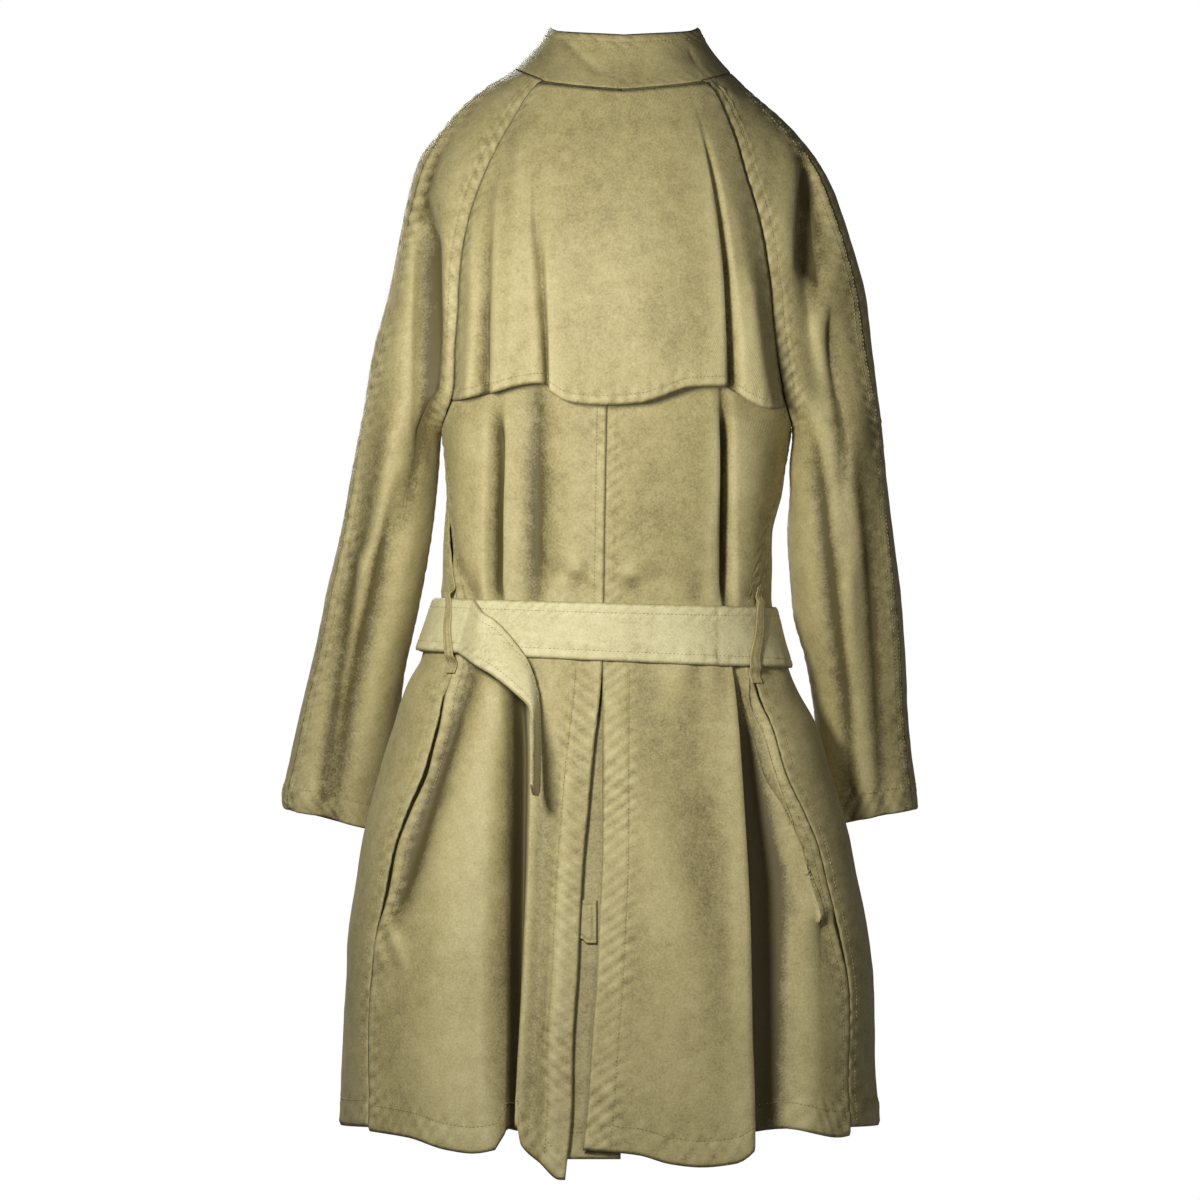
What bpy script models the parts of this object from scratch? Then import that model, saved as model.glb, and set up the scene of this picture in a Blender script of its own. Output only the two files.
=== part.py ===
"""Trench coat, filled out with nobody in it: cut panels, collar, storm flap, belt, loops, buckle, buttons.

Sizes are millimetres. Z is up, the wearer's front faces -Y, the wearer's left is +X, z = 0 is the nape seam.
"""

import bpy
import numpy as np

for old in list(bpy.data.objects):
    bpy.data.objects.remove(old, do_unlink=True)

MM = 0.001
CLOTH = 1.6  # wall of a body or sleeve panel: twill with its turned seams
BELT_WALL = 2.4  # two layers and their stiffening
COLLAR_WALL = 2.2
LOOP_WALL = 1.4
SEAM_GAP = 0.3
ARMPIT = -308.0
BACK_POWER = 0.87  # how square the back half of each body ring is
BELT_DROP = 52.0
BUTTON_RADIUS = 10.5
BUTTON_THICK = 3.6
BUTTON_HEIGHTS = (-72, -175, -278, -381, -610)
BUCKLE_HALF = (31.0, 32.0)
BUCKLE_BAR = 4.0
BUCKLE_THICK = 3.0

# Rings of the body: height, centre across, half width, depth of the widest place, back, front.
BODY = np.array([
    (20, -16, 98, -15, 60, -93), (9, -16, 101, -15, 63, -94), (0, -16, 107, -14, 67, -95),
    (-15, -15, 115, -13, 74, -98), (-47, -12, 135, -12, 86, -105), (-76, -9, 148, -10, 94, -112),
    (-113, -8, 160, -8, 102, -122), (-148, -8, 166, -6, 107, -130), (-189, -9, 170, -4, 110, -137),
    (-230, -9.5, 169, -2, 110, -141), (-272, -12, 165, 0, 107, -141), (-308, -11, 157, 0, 103, -138),
    (-362, -8.5, 151, 0, 97, -130), (-400, -3, 148, 0, 93, -123), (-456, -1.5, 148.5, 0, 88, -115),
    (-487, 0.3, 157.3, 2.5, 91, -115.2), (-515, 2, 166, 5, 94, -115.5), (-539, 3, 177, 7, 101, -121),
    (-575, 0, 192, 10, 110, -131), (-611, 0, 202.5, 12, 118, -138), (-668, -1, 218, 15, 130, -148),
    (-713, -2, 226, 14, 138, -154), (-760, -3, 234, 12, 146, -159), (-803, -4.5, 237.5, 9, 152, -163),
    (-871, -3, 240, 5, 161, -168), (-930, -4, 243, 2, 168, -172), (-980, -4, 245, 0, 173, -175),
])
FRONT_POWER = np.array([(20, 1.0), (-456, 1.0), (-575, 1.1), (-980, 1.06)])
# Where the raglan and side seams lie: height, share of the half width on the back, on the front.
RAGLAN = np.array([
    (20, 0.70, 0.72), (9, 0.72, 0.74), (-15, 0.783, 0.77), (-47, 0.785, 0.78), (-76, 0.79, 0.785),
    (-113, 0.806, 0.80), (-148, 0.819, 0.81), (-189, 0.824, 0.815), (-230, 0.849, 0.84),
    (-272, 0.894, 0.885), (-291, 0.955, 0.95), (-308, 1.0, 1.0),
])
SIDE_SEAM = np.array([
    (-308, 1.0), (-340, 0.995), (-400, 0.97), (-456, 0.91), (-487, 0.86), (-519, 0.80), (-562, 0.79),
    (-607, 0.80), (-651, 0.84), (-682, 0.865), (-726, 0.88), (-768, 0.895), (-820, 0.905), (-903, 0.89),
    (-980, 0.885),
])
# Folds down the back: height, inner lip, bottom, outer lip (places across), depth.
FOLD_LEFT = np.array([
    (20, 22, 30, 38, 0), (-60, 50, 60, 70, 0), (-200, 80, 92, 104, 0), (-283, 88, 97, 110, 2),
    (-320, 89, 97, 109, 8), (-400, 91, 99, 110, 12), (-440, 91, 99, 110, 11), (-461, 88, 96, 108, 3.5),
    (-513, 76, 88, 100, 3.5), (-540, 68, 78, 94, 10), (-600, 67, 77, 90, 18), (-700, 69, 79, 91, 24),
    (-800, 74, 83, 92, 28), (-930, 80, 85, 92, 30), (-980, 80, 85, 92, 30),
])
FOLD_RIGHT = np.array([
    (20, -50, -56, -62, 0), (-60, -70, -80, -90, 0), (-200, -94, -101, -112, 0),
    (-283, -101, -106, -116, 3), (-320, -102, -107, -118, 10), (-400, -102, -107, -118, 12),
    (-440, -102, -107, -118, 9), (-461, -104, -110, -120, 3), (-513, -112, -118, -130, 3.5),
    (-540, -116, -120, -131, 6), (-575, -119, -125, -144, 11), (-605, -121, -128, -153, 15),
    (-634, -123, -130, -162, 18), (-700, -127, -134, -184, 23), (-741, -129, -137, -196, 24),
    (-800, -130, -140, -192, 24), (-930, -133, -143, -188, 26), (-980, -133, -143, -188, 26),
])
# Middle line of the back: height, seam; below the vent top, the edge of the left and of the right panel.
BACK_EDGES = np.array([
    (20, -15, -15), (0, -15, -15), (-283, -2, -2), (-456, 1, 1), (-518, 2.5, 2.2), (-602, 11, 2.6),
    (-649, 15, 2.6), (-692, 19, 3), (-726, 21, 4.5), (-773, 24, 7), (-804, 26, 9), (-866, 29, 14),
    (-940, 36, 21), (-980, 40, 25),
])
HEM_LEFT = np.array([
    (34, -975), (40, -975), (58, -960), (75, -944), (79, -928), (90, -928), (94, -942), (100, -949),
    (118, -952), (141, -949), (173, -939), (200, -935), (245, -930),
])
HEM_RIGHT = np.array([
    (-247, -928), (-209, -939), (-188, -935), (-167, -929), (-140, -932), (-133, -950), (-116, -961),
    (-86, -964), (-58, -961), (-30, -953), (-2, -950), (30, -948),
])
# Soft folds of the fronts: height, depth.
FRONT_WAVES = np.array([(20, 0), (-120, 0), (-300, 4), (-430, 3), (-461, 0), (-513, 0), (-600, 6),
                        (-760, 12), (-980, 18)])
# Storm flap: height, left recess (outer, bottom, inner), middle pleat, right pleat (edge, bottom, outer).
FLAP_LINES = np.array([
    (20, 45, 38, 31, 14, 10, 6, -64, -68, -73), (-34, 78, 70, 62, 44, 39, 34, -82, -85, -90),
    (-97, 110, 101, 93, 66, 61, 56, -94, -98, -104), (-168, 112, 102, 95, 60, 55, 49, -101, -105, -113),
    (-260, 112, 102, 95, 54, 50, 46, -103.5, -108, -120), (-300, 112, 102, 95, 53, 49, 45, -104, -109, -121),
])
FLAP_DEPTHS = np.array([
    (20, 0, 0, 0), (-34, 0, 0, 0.5), (-97, 1, 0, 5), (-150, 5, 3, 8), (-200, 8, 6, 10), (-260, 11, 10, 13),
    (-300, 12, 11, 14),
])
FLAP_LIFT = np.array([(20, 0), (-20, 0.5), (-97, 5), (-200, 10.5), (-260, 14), (-300, 15.5)])
FLAP_HEM = np.array([
    (-163, -285), (-132, -283), (-121, -278), (-106, -266), (-103, -265), (-75, -266), (-51, -274),
    (-31, -280), (1, -282), (29, -280), (46, -270), (55, -262), (75, -265), (91, -270), (109, -274),
    (138, -280),
])
# Sleeves: height at the outside, place of the outside, half width, half depth, middle depth,
# angle of the back edge, angle of the front edge, height of the back edge, of the front edge.
SLEEVE_LEFT = np.array([
    (20, 82, 98, 78, -15, 46, -46, 9, -5), (-7, 121, 95, 79, -13, 50, -50, -15, -22),
    (-35, 148.5, 100, 80, -11, 53, -53, -47, -50), (-67, 169, 105, 81, -9, 56, -57, -76, -80),
    (-101, 179, 108, 81, -7, 58, -60, -113, -115), (-140, 187, 110, 80, -5, 61, -62, -150, -150),
    (-185, 196, 108, 80, -4, 65, -65, -190, -190), (-228, 207, 98, 79, -3, 72, -72, -230, -230),
    (-258, 213, 78, 76, -2, 88, -88, -262, -262), (-276, 216, 58, 73, -1, 112, -112, -280, -280),
    (-294, 219, 46, 71, -1, 142, -142, -296, -296),
    (-308, 221.5, 37.6, 70, 0, 180, -180, -308, -308), (-345, 228, 39, 69, -6, 180, -180, -350, -350),
    (-400, 239, 41, 67, -14, 180, -180, -408, -408), (-458, 252, 42, 62, -25, 180, -180, -468, -468),
    (-503, 261, 41, 58, -36, 180, -180, -516, -516), (-552, 274, 44, 53, -48, 180, -180, -568, -568),
    (-600, 284.5, 45, 49, -58, 180, -180, -618, -618), (-634, 292, 45.5, 47, -65, 180, -180, -654, -654),
    (-647, 290, 45, 46, -67, 180, -180, -668, -668),
])
SLEEVE_RIGHT = np.array([
    (16, 114, 98, 78, -15, 46, -46, 9, -5), (-10, 142, 96, 79, -13, 50, -50, -15, -22),
    (-42, 176, 103, 80, -11, 53, -53, -47, -50), (-76, 200, 108, 81, -9, 56, -57, -76, -80),
    (-108, 213, 112, 81, -7, 58, -60, -113, -115), (-144, 225, 112, 80, -5, 61, -62, -150, -150),
    (-187, 235.5, 110, 80, -4, 65, -65, -190, -190), (-228, 240.5, 100, 79, -3, 72, -72, -230, -230),
    (-258, 244, 79, 76, -2, 88, -88, -262, -262), (-276, 246, 60, 73, -1, 112, -112, -280, -280),
    (-294, 248, 48, 71, -1, 142, -142, -296, -296),
    (-308, 249.5, 40.6, 70, 0, 180, -180, -308, -308), (-345, 253.5, 43, 69, -6, 180, -180, -349, -349),
    (-400, 260, 48, 67, -14, 180, -180, -407, -407), (-458, 267, 49, 62, -25, 180, -180, -467, -467),
    (-503, 271, 45, 58, -36, 180, -180, -514, -514), (-552, 273, 42, 53, -48, 180, -180, -565, -565),
    (-600, 277, 41.5, 49, -58, 180, -180, -614, -614), (-634, 281, 41.5, 47, -65, 180, -180, -649, -649),
    (-647, 282, 41, 46, -67, 180, -180, -663, -663),
])
OVERARM = np.array([(20, 12), (-67, 16), (-266, 20), (-400, 26), (-647, 28)])
# One long soft fold down the back of each sleeve: height, place across, width, depth.
SLEEVE_FOLD_LEFT = np.array([(20, 120, 9, 0), (-90, 158, 9, 0), (-150, 163, 10, 7), (-290, 172, 10, 8),
                             (-400, 185, 12, 5), (-520, 215, 14, 4), (-647, 235, 14, 0)])
SLEEVE_FOLD_RIGHT = np.array([(20, 150, 9, 0), (-60, 182, 9, 2), (-110, 177, 9, 9), (-190, 180, 10, 9),
                              (-300, 200, 12, 6), (-450, 225, 14, 5), (-647, 240, 14, 0)])
TOP_COLLAR = (-17.0, -22.0, 67.0, 62.0)  # centre across, centre depth, half width, half depth
TOP_COLLAR_Z = np.array([(0, 50), (60, 54), (90, 58), (130, 38), (180, 5)])
# The loose belt end after its loop: upper edge, lower edge.
BELT_END = np.array([
    (112, 82.5, -467, 117, 97, -516), (99, 89, -475, 104, 109, -523), (82, 95, -493, 84, 123, -537),
    (66, 101, -517, 66, 137, -555), (58.5, 108, -547, 64.5, 154, -569), (57, 117, -582, 64, 166, -593),
    (57, 130, -625, 64, 181, -622),
])


def along(table, place, column=1):
    """A smooth line through one column of a table that is keyed by its first column."""
    keys, values = table[:, 0], table[:, column]
    order = np.argsort(keys)
    keys, values = keys[order], values[order]
    steps = np.diff(keys)
    slopes = np.diff(values) / steps
    tangents = np.concatenate([slopes[:1], np.zeros(len(keys) - 2), slopes[-1:]])
    turns = slopes[:-1] * slopes[1:] > 0
    safe = np.where(turns, slopes[:-1] + slopes[1:], 1.0)
    tangents[1:-1] = np.where(turns, 2 * slopes[:-1] * slopes[1:] / safe, 0.0)
    place = np.clip(np.asarray(place, float), keys[0], keys[-1])
    i = np.clip(np.searchsorted(keys, place) - 1, 0, len(keys) - 2)
    t = (place - keys[i]) / steps[i]
    return (
        values[i] * (2 * t**3 - 3 * t**2 + 1)
        + values[i + 1] * (3 * t**2 - 2 * t**3)
        + tangents[i] * steps[i] * (t**3 - 2 * t**2 + t)
        + tangents[i + 1] * steps[i] * (t**3 - t**2)
    )


def ease(t):
    t = np.clip(t, 0, 1)
    return t * t * (3 - 2 * t)


def trough(x, inner, bottom, outer):
    """0 at both lips and 1 at the bottom, whichever way across the lips run."""
    rise = ease((x - inner) / (bottom - inner))
    fall = ease((outer - x) / (outer - bottom))
    return rise * fall


def body_base(angle, z):
    """The plain body ring: angle 0 is the middle of the back, 90 the wearer's left, 180 the front."""
    turn = np.radians(angle)
    s, c = np.sin(turn), np.cos(turn)
    power = np.where(c >= 0, BACK_POWER, along(FRONT_POWER, z))
    middle, depth = along(BODY, z, 1), along(BODY, z, 3)
    x = middle + along(BODY, z, 2) * np.sign(s) * np.abs(s) ** power
    reach = np.where(c >= 0, along(BODY, z, 4) - depth, depth - along(BODY, z, 5))
    y = depth + reach * np.sign(c) * np.abs(c) ** power
    return np.stack(np.broadcast_arrays(x, y, z), -1)


def across(x, z, front=False):
    """The angle at which the body ring of height z passes x."""
    share = np.clip((x - along(BODY, z, 1)) / along(BODY, z, 2), -1, 1)
    power = along(FRONT_POWER, z) if front else BACK_POWER
    angle = np.degrees(np.arcsin(np.abs(share) ** (1 / power)))
    return np.sign(share) * np.where(front, 180 - angle, angle)


def facing(surface, u, v, du, dv):
    """The outward direction of a surface of two numbers."""
    across_u = surface(u + du, v) - surface(u - du, v)
    across_v = surface(u, v + dv) - surface(u, v - dv)
    normal = np.cross(across_v, across_u)
    return normal / np.linalg.norm(normal, axis=-1, keepdims=True)


def base_facing(angle, z):
    return facing(body_base, angle, z, 0.5, 2.0)


def folds(angle, z):
    """How far the cloth lies inside the plain ring."""
    x = body_base(angle, z)[..., 0]
    back = np.abs(angle) < 90
    left = along(FOLD_LEFT, z, 4) * trough(
        x, along(FOLD_LEFT, z, 1), along(FOLD_LEFT, z, 2), along(FOLD_LEFT, z, 3))
    right = along(FOLD_RIGHT, z, 4) * trough(
        x, along(FOLD_RIGHT, z, 1), along(FOLD_RIGHT, z, 2), along(FOLD_RIGHT, z, 3))
    share = np.clip((np.abs(angle) - 92) / 70, 0, 1)
    waves = along(FRONT_WAVES, z) * np.sin(share * np.pi * 2) ** 2
    return np.where(back, left + right, waves)


def body(angle, z):
    angle, z = np.broadcast_arrays(np.asarray(angle, float), np.asarray(z, float))
    return body_base(angle, z) - base_facing(angle, z) * folds(angle, z)[..., None]


def body_facing(angle, z):
    return facing(body, angle, z, 0.6, 2.5)


def seam_angle(z, front):
    """The angle, 0 to 180, of the raglan seam or, under the arm, of the side seam."""
    power = 1 / BACK_POWER
    raglan = RAGLAN.copy()
    raglan[:, 1] = np.degrees(np.arcsin(raglan[:, 1] ** power))
    raglan[:, 2] = 180 - np.degrees(np.arcsin(raglan[:, 2]))
    side = SIDE_SEAM.copy()
    side[:, 1] = np.degrees(np.arcsin(side[:, 1] ** power))
    return np.where(z > ARMPIT, along(raglan, z, 2 if front else 1), along(side, z))


def seam_inset(z):
    """Half the seam's gap as an angle, more where the armhole runs aslant."""
    return 0.14 + 0.2 * ease((-245 - z) / 30) * ease((z - ARMPIT + 2) / 4)


def neck_z(angle):
    table = np.array([(0, 0), (48, 9), (90, 20), (132, -5), (180, -45)], float)
    return along(table, np.abs(angle))


def solid(name, outer, inner, material):
    """A closed shell between two grids of points, rows by columns, given in millimetres."""
    rows, columns = outer.shape[:2]
    points = np.concatenate([outer.reshape(-1, 3), inner.reshape(-1, 3)]) * MM
    count = rows * columns
    cell = np.arange(count).reshape(rows, columns)
    faces = []
    for r in range(rows - 1):
        for c in range(columns - 1):
            a, b, d, e = cell[r, c], cell[r, c + 1], cell[r + 1, c + 1], cell[r + 1, c]
            faces.append((a, b, d, e))
            faces.append((a + count, e + count, d + count, b + count))
    rim = list(cell[0, :]) + list(cell[1:, -1]) + list(cell[-1, -2::-1]) + list(cell[-2:0:-1, 0])
    for a, b in zip(rim, rim[1:] + rim[:1]):
        faces.append((b, a, a + count, b + count))
    mesh = bpy.data.meshes.new(name)
    mesh.from_pydata([tuple(p) for p in points], [], [tuple(int(i) for i in f) for f in faces])
    triangles = points[np.array([f[:3] for f in faces])]
    other = points[np.array([(f[0], f[2], f[3]) for f in faces])]
    if np.linalg.det(triangles).sum() + np.linalg.det(other).sum() < 0:
        mesh.flip_normals()
    mesh.materials.append(material)
    made = bpy.data.objects.new(name, mesh)
    bpy.context.scene.collection.objects.link(made)
    return made


def plain(name, colour, rough, metal=0.0):
    material = bpy.data.materials.new(name)
    material.use_nodes = True
    shader = material.node_tree.nodes["Principled BSDF"]
    shader.inputs["Base Color"].default_value = (*colour, 1.0)
    shader.inputs["Roughness"].default_value = rough
    shader.inputs["Metallic"].default_value = metal
    return material


TWILL = plain("cotton_twill", (0.33, 0.27, 0.13), 0.7)
BELTING = plain("belt_twill", (0.40, 0.33, 0.17), 0.65)
HORN = plain("button_resin", (0.09, 0.06, 0.035), 0.35)


def between(*parts):
    """Places with even steps inside each pair of landmarks: (landmark, steps, landmark, steps, landmark)."""
    columns = [parts[0]]
    for start, steps, end in zip(parts[:-2:2], parts[1:-1:2], parts[2::2]):
        columns += [start + (end - start) * k / steps for k in range(1, steps + 1)]
    return np.stack(columns, -1)


# The two back panels, joined down the middle seam as far as the vent.
LOW_ROWS = [-308, -345, -392, -440, -461, -487, -513, -540, -575, -620, -670, -725, -785, -850, -930]
BACK_ROWS = np.array([9, -15, -47, -76, -113, -150, -190, -230, -262, -280, -296] + LOW_ROWS, float)


def back_panel(side):
    rows = BACK_ROWS
    low = ease((-700 - rows) / 230)
    hem = HEM_LEFT if side > 0 else HEM_RIGHT
    table = FOLD_LEFT if side > 0 else FOLD_RIGHT
    edge = along(BACK_EDGES, rows, 1 if side > 0 else 2) + side * SEAM_GAP * 0.6
    inner, bottom, outer = (across(along(table, rows, k), rows) for k in (1, 2, 3))
    seam = side * (seam_angle(rows, False) - seam_inset(rows))
    start = across(edge, rows)
    angles = between(start, 4, inner, 1, bottom, 1, outer, 4, seam)
    z = np.repeat(rows[:, None], angles.shape[1], 1)
    top = neck_z(angles)
    fade = ease(1 + (rows - 9) / 55)[:, None]
    z = z + fade * (top - 9)
    x = body_base(angles, z)[..., 0]
    z = z + low[:, None] * (along(hem, x) + 930)
    return angles, z


neck_edges = {}
for name, side in (("back_left", 1), ("back_right", -1)):
    angles, z = back_panel(side)
    outer = body(angles, z)
    neck_edges[name] = outer[0]
    solid(name, outer, outer - CLOTH * body_facing(angles, z), TWILL)

# The fronts: the wearer's left laps over the right and carries the buttonholes.
FRONT_ROWS = np.array([-5, -22, -50, -80, -115, -150, -190, -230, -262, -280, -296] + LOW_ROWS, float)
LAP = 24.0
LAP_LIFT = 2.3


def front_panel(side):
    rows = FRONT_ROWS
    edge = np.full(len(rows), -LAP if side > 0 else LAP)
    seam = side * (seam_angle(rows, True) + seam_inset(rows))
    lap = across(edge, rows, front=True)
    lap = np.where(side * lap < 0, side * 360 + lap, lap)
    inner = across(np.full(len(rows), LAP * 1.0 * side), rows, front=True)
    inner = np.where(side * inner < 0, side * 360 + inner, inner)
    turn = across(np.full(len(rows), 40.0 * side), rows, front=True)
    angles = between(seam, 8, turn, 1, inner, 2, lap) if side > 0 else between(seam, 8, turn, 2, lap)
    z = np.repeat(rows[:, None], angles.shape[1], 1)
    fade = ease(1 + (rows + 5) / 90)[:, None]
    z = z + fade * (neck_z(np.where(np.abs(angles) > 180, 360 - np.abs(angles), angles)) + 5)
    low = ease((-700 - rows) / 230)[:, None]
    z = z - low * 8 * ease((np.abs(angles) - 100) / 80)
    x = body_base(angles, z)[..., 0]
    lift = LAP_LIFT * ease((42 - x) / 16) * ease((np.abs(angles) - 120) / 20) if side > 0 else 0 * x
    return angles, z, lift


for name, side in (("front_left", 1), ("front_right", -1)):
    angles, z, lift = front_panel(side)
    normal = body_facing(angles, z)
    outer = body(angles, z) + normal * lift[..., None]
    neck_edges[name] = outer[0]
    solid(name, outer, outer - CLOTH * normal, TWILL)

# Sleeves, each a back and a front cut to the overarm seam and caught in the raglan seam.
SLEEVE_ROWS_OPEN = 12


def sleeve(side, table, row, turn):
    """Row 0 is the neck and the last is the cuff; turn runs 1 at the back seam, 0 outside, -1 at the front."""
    knots = np.column_stack([np.arange(len(table)), table])
    high, out, wide, deep, middle = (along(knots, row, k) for k in (1, 2, 3, 4, 5))
    end = np.where(turn >= 0, along(knots, row, 6), -along(knots, row, 7))
    low = np.where(turn >= 0, along(knots, row, 8), along(knots, row, 9))
    angle = np.radians(end * turn)
    share = (1 - np.cos(angle)) / (1 - np.cos(np.radians(end)))
    x = side * (out - wide + wide * np.cos(angle))
    y = middle + deep * np.sin(angle)
    z = high + (low - high) * share
    open_row = row <= SLEEVE_ROWS_OPEN - 1
    seam_b, seam_f = seam_angle(low, False), seam_angle(low, True)
    target = body(side * np.where(turn >= 0, seam_b, seam_f), np.where(open_row, low, ARMPIT))
    end_x = side * (out - wide + wide * np.cos(np.radians(end)))
    end_y = middle + np.sign(turn) * deep * np.sin(np.radians(end))
    pull = np.where(open_row, share, 0)
    x = x + pull * (target[..., 0] - end_x)
    y = y + pull * (target[..., 1] - end_y)
    fold = SLEEVE_FOLD_LEFT if side > 0 else SLEEVE_FOLD_RIGHT
    dent = along(fold, z, 3) * np.exp(-(((side * x - along(fold, z, 1)) / along(fold, z, 2)) ** 2))
    y = y - dent * np.clip(turn * 3, 0, 1) * np.clip((1 - np.abs(turn)) * 5, 0, 1)
    return np.stack([x, y, z], -1)


def sleeve_half(name, side, table, back):
    count = len(table)
    rows = np.arange(count, dtype=float)
    knots = np.column_stack([rows, table])
    end = along(knots, rows, 6)
    start = along(OVERARM, table[:, 0]) / end
    if back:
        turns = between(start + 0.002, 6, np.full(count, 1 - 0.0016))
    else:
        turns = between(start - 0.002, 2, np.full(count, -0.2), 5, np.full(count, -1 + 0.0016))
    row = np.repeat(rows[:, None], turns.shape[1], 1)

    def shape(u, v):
        return sleeve(side, table, np.clip(u, 0, count - 1), np.clip(v, -1, 1))

    outer = shape(row, turns)
    du = shape(row + 0.12, turns) - shape(row - 0.12, turns)
    dv = shape(row, turns + 0.01) - shape(row, turns - 0.01)
    normal = np.cross(dv, du)
    normal /= np.linalg.norm(normal, axis=-1, keepdims=True)
    middle = np.stack([side * (table[:, 1] - table[:, 2]), table[:, 4]], -1)[:, None]
    flip = np.sign(((outer[..., :2] - middle) * normal[..., :2]).sum(-1, keepdims=True))
    normal = normal * np.where(flip == 0, 1, flip)
    low = table[:, 7] if back else table[:, 8]
    at_seam = body_facing(side * seam_angle(low, not back), low)
    normal[:3, -1] = at_seam[:3]
    solid(name, outer, outer - CLOTH * normal, TWILL)
    return outer


for side, word, table in ((1, "left", SLEEVE_LEFT), (-1, "right", SLEEVE_RIGHT)):
    for back in (True, False):
        name = f"sleeve_{word}_{'back' if back else 'front'}"
        neck_edges[name] = sleeve_half(name, side, table, back)[0]

# The stand collar: one ring of cloth on the neck seam, its ends meeting at the middle front.
def collar():
    halves = []
    for side, word in ((1, "left"), (-1, "right")):
        front = neck_edges[f"front_{word}"]
        meet = 1.2 * side
        beyond = side * front[:, 0] < 1.2
        last = int(np.argmax(beyond))
        share = (front[last - 1, 0] - meet) / (front[last - 1, 0] - front[last, 0])
        end = front[last - 1] + share * (front[last] - front[last - 1])
        halves.append(np.concatenate([
            neck_edges[f"back_{word}"][:-1], neck_edges[f"sleeve_{word}_back"][::-1][:-1],
            neck_edges[f"sleeve_{word}_front"][1:-1],
            [np.maximum(neck_edges[f"sleeve_{word}_front"][-1], front[0])], front[1:last], [end],
        ]))
    foot = np.concatenate([halves[1][::-1], halves[0][1:]])
    centre_x, centre_y, half_x, half_y = TOP_COLLAR
    bearing = np.arctan2(foot[:, 0] - centre_x, foot[:, 1] - centre_y)
    head = np.stack([centre_x + half_x * np.sin(bearing), centre_y + half_y * np.cos(bearing),
                     along(TOP_COLLAR_Z, np.abs(np.degrees(bearing)))], -1)
    rise = (head - foot) / np.linalg.norm(head - foot, axis=-1, keepdims=True)
    foot = foot + rise * 0.95
    steps = np.linspace(0, 1, 4)[:, None, None]
    outer = head * (1 - steps) + foot * steps
    outward = np.stack([np.sin(bearing), np.cos(bearing), 0 * bearing], -1)
    outer = outer - outward * 2.5 * np.sin(np.pi * steps)
    run = np.gradient(foot, axis=0)
    normal = np.cross(rise, run)
    normal /= np.linalg.norm(normal, axis=-1, keepdims=True)
    normal *= np.sign((normal * outward).sum(-1, keepdims=True))
    solid("collar", outer, outer - COLLAR_WALL * normal, TWILL)


collar()


# The storm flap lies over the back, caught in the neck and raglan seams and free along its hem.
def flap_point(x, z):
    angle = across(x, z)
    left = seam_x(z, 1)
    right = seam_x(z, -1)
    inside = ease(np.minimum(left - x, x - right) / 26)
    lines, depths = FLAP_LINES, FLAP_DEPTHS
    drop = along(depths, z, 1) * trough(x, *(along(lines, z, k) for k in (3, 2, 1)))
    drop = drop + along(depths, z, 2) * trough(x, *(along(lines, z, k) for k in (6, 5, 4)))
    drop = drop + along(depths, z, 3) * trough(x, *(along(lines, z, k) for k in (7, 8, 9)))
    lift = 0.5 + CLOTH + np.maximum(along(FLAP_LIFT, z) * inside - drop, 0)
    return body(angle, z) + base_facing(angle, z) * lift[..., None]


def seam_x(z, side):
    return body_base(side * seam_angle(z, False), z)[..., 0]


def storm_flap():
    rows = np.array([4, -16, -47, -76, -113, -150, -190, -230, -258, -280], float)
    left = seam_x(rows, 1) - 1.2
    right = seam_x(rows, -1) + 1.2
    marks = [along(FLAP_LINES, rows, k) for k in range(1, 10)]
    x = between(left, 1, marks[0], 1, marks[1], 1, marks[2], 2, marks[3], 1, marks[4], 1, marks[5], 4,
                marks[6], 1, marks[7], 1, marks[8], 2, right)
    even = left[:, None] + (right - left)[:, None] * np.linspace(0, 1, x.shape[1])
    mix = ease((-rows - 5) / 95)[:, None]
    x = even * (1 - mix) + x * mix
    z = np.repeat(rows[:, None], x.shape[1], 1)
    z = z + ease((rows[:, None] + 60) / 64) * (neck_z(across(x, z)) - 6.5)
    z = z + ease((-190 - rows[:, None]) / 90) * (along(FLAP_HEM, x) + 280)
    outer = flap_point(x, z)
    du = flap_point(x + 1.5, z) - flap_point(x - 1.5, z)
    dv = flap_point(x, z + 1.5) - flap_point(x, z - 1.5)
    normal = np.cross(dv, du)
    normal *= np.sign(normal[..., 1:2])
    normal /= np.linalg.norm(normal, axis=-1, keepdims=True)
    solid("storm_flap", outer, outer - CLOTH * normal, TWILL)


storm_flap()


# The vent's underlay hangs behind the open middle edges, and a tab crosses it.
def underlay_point(x, z):
    angle = across(x, z)
    return body(angle, z) - base_facing(angle, z) * (CLOTH + 0.6 + 3.2 * ease((-530 - z) / 90))[..., None]


def vent_underlay():
    rows = np.array([-519, -540, -575, -615, -660, -710, -760, -815, -871, -915, -956], float)
    left = np.interp(-rows, [519, 600, 956], [24, 44, 60])
    right = np.interp(-rows, [519, 600, 956], [-16, -20, -14])
    x = right[:, None] + (left - right)[:, None] * np.linspace(0, 1, 5)
    z = np.repeat(rows[:, None], 5, 1)
    outer = underlay_point(x, z)
    inner = outer - CLOTH * base_facing(across(x, z), z)
    solid("vent_underlay", outer, inner, TWILL)


def vent_tab():
    x, z = np.meshgrid(np.linspace(7.5, 31, 4), np.array([-725, -737, -749, -760.0]))
    z = z - (x < 20) * (z < -755) * 4.0
    angle = across(x, z)
    outer = body(angle, z) - base_facing(angle, z) * (CLOTH + 0.95)
    solid("vent_tab", outer, outer - 1.4 * base_facing(angle, z), TWILL)


vent_underlay()
vent_tab()


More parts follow.
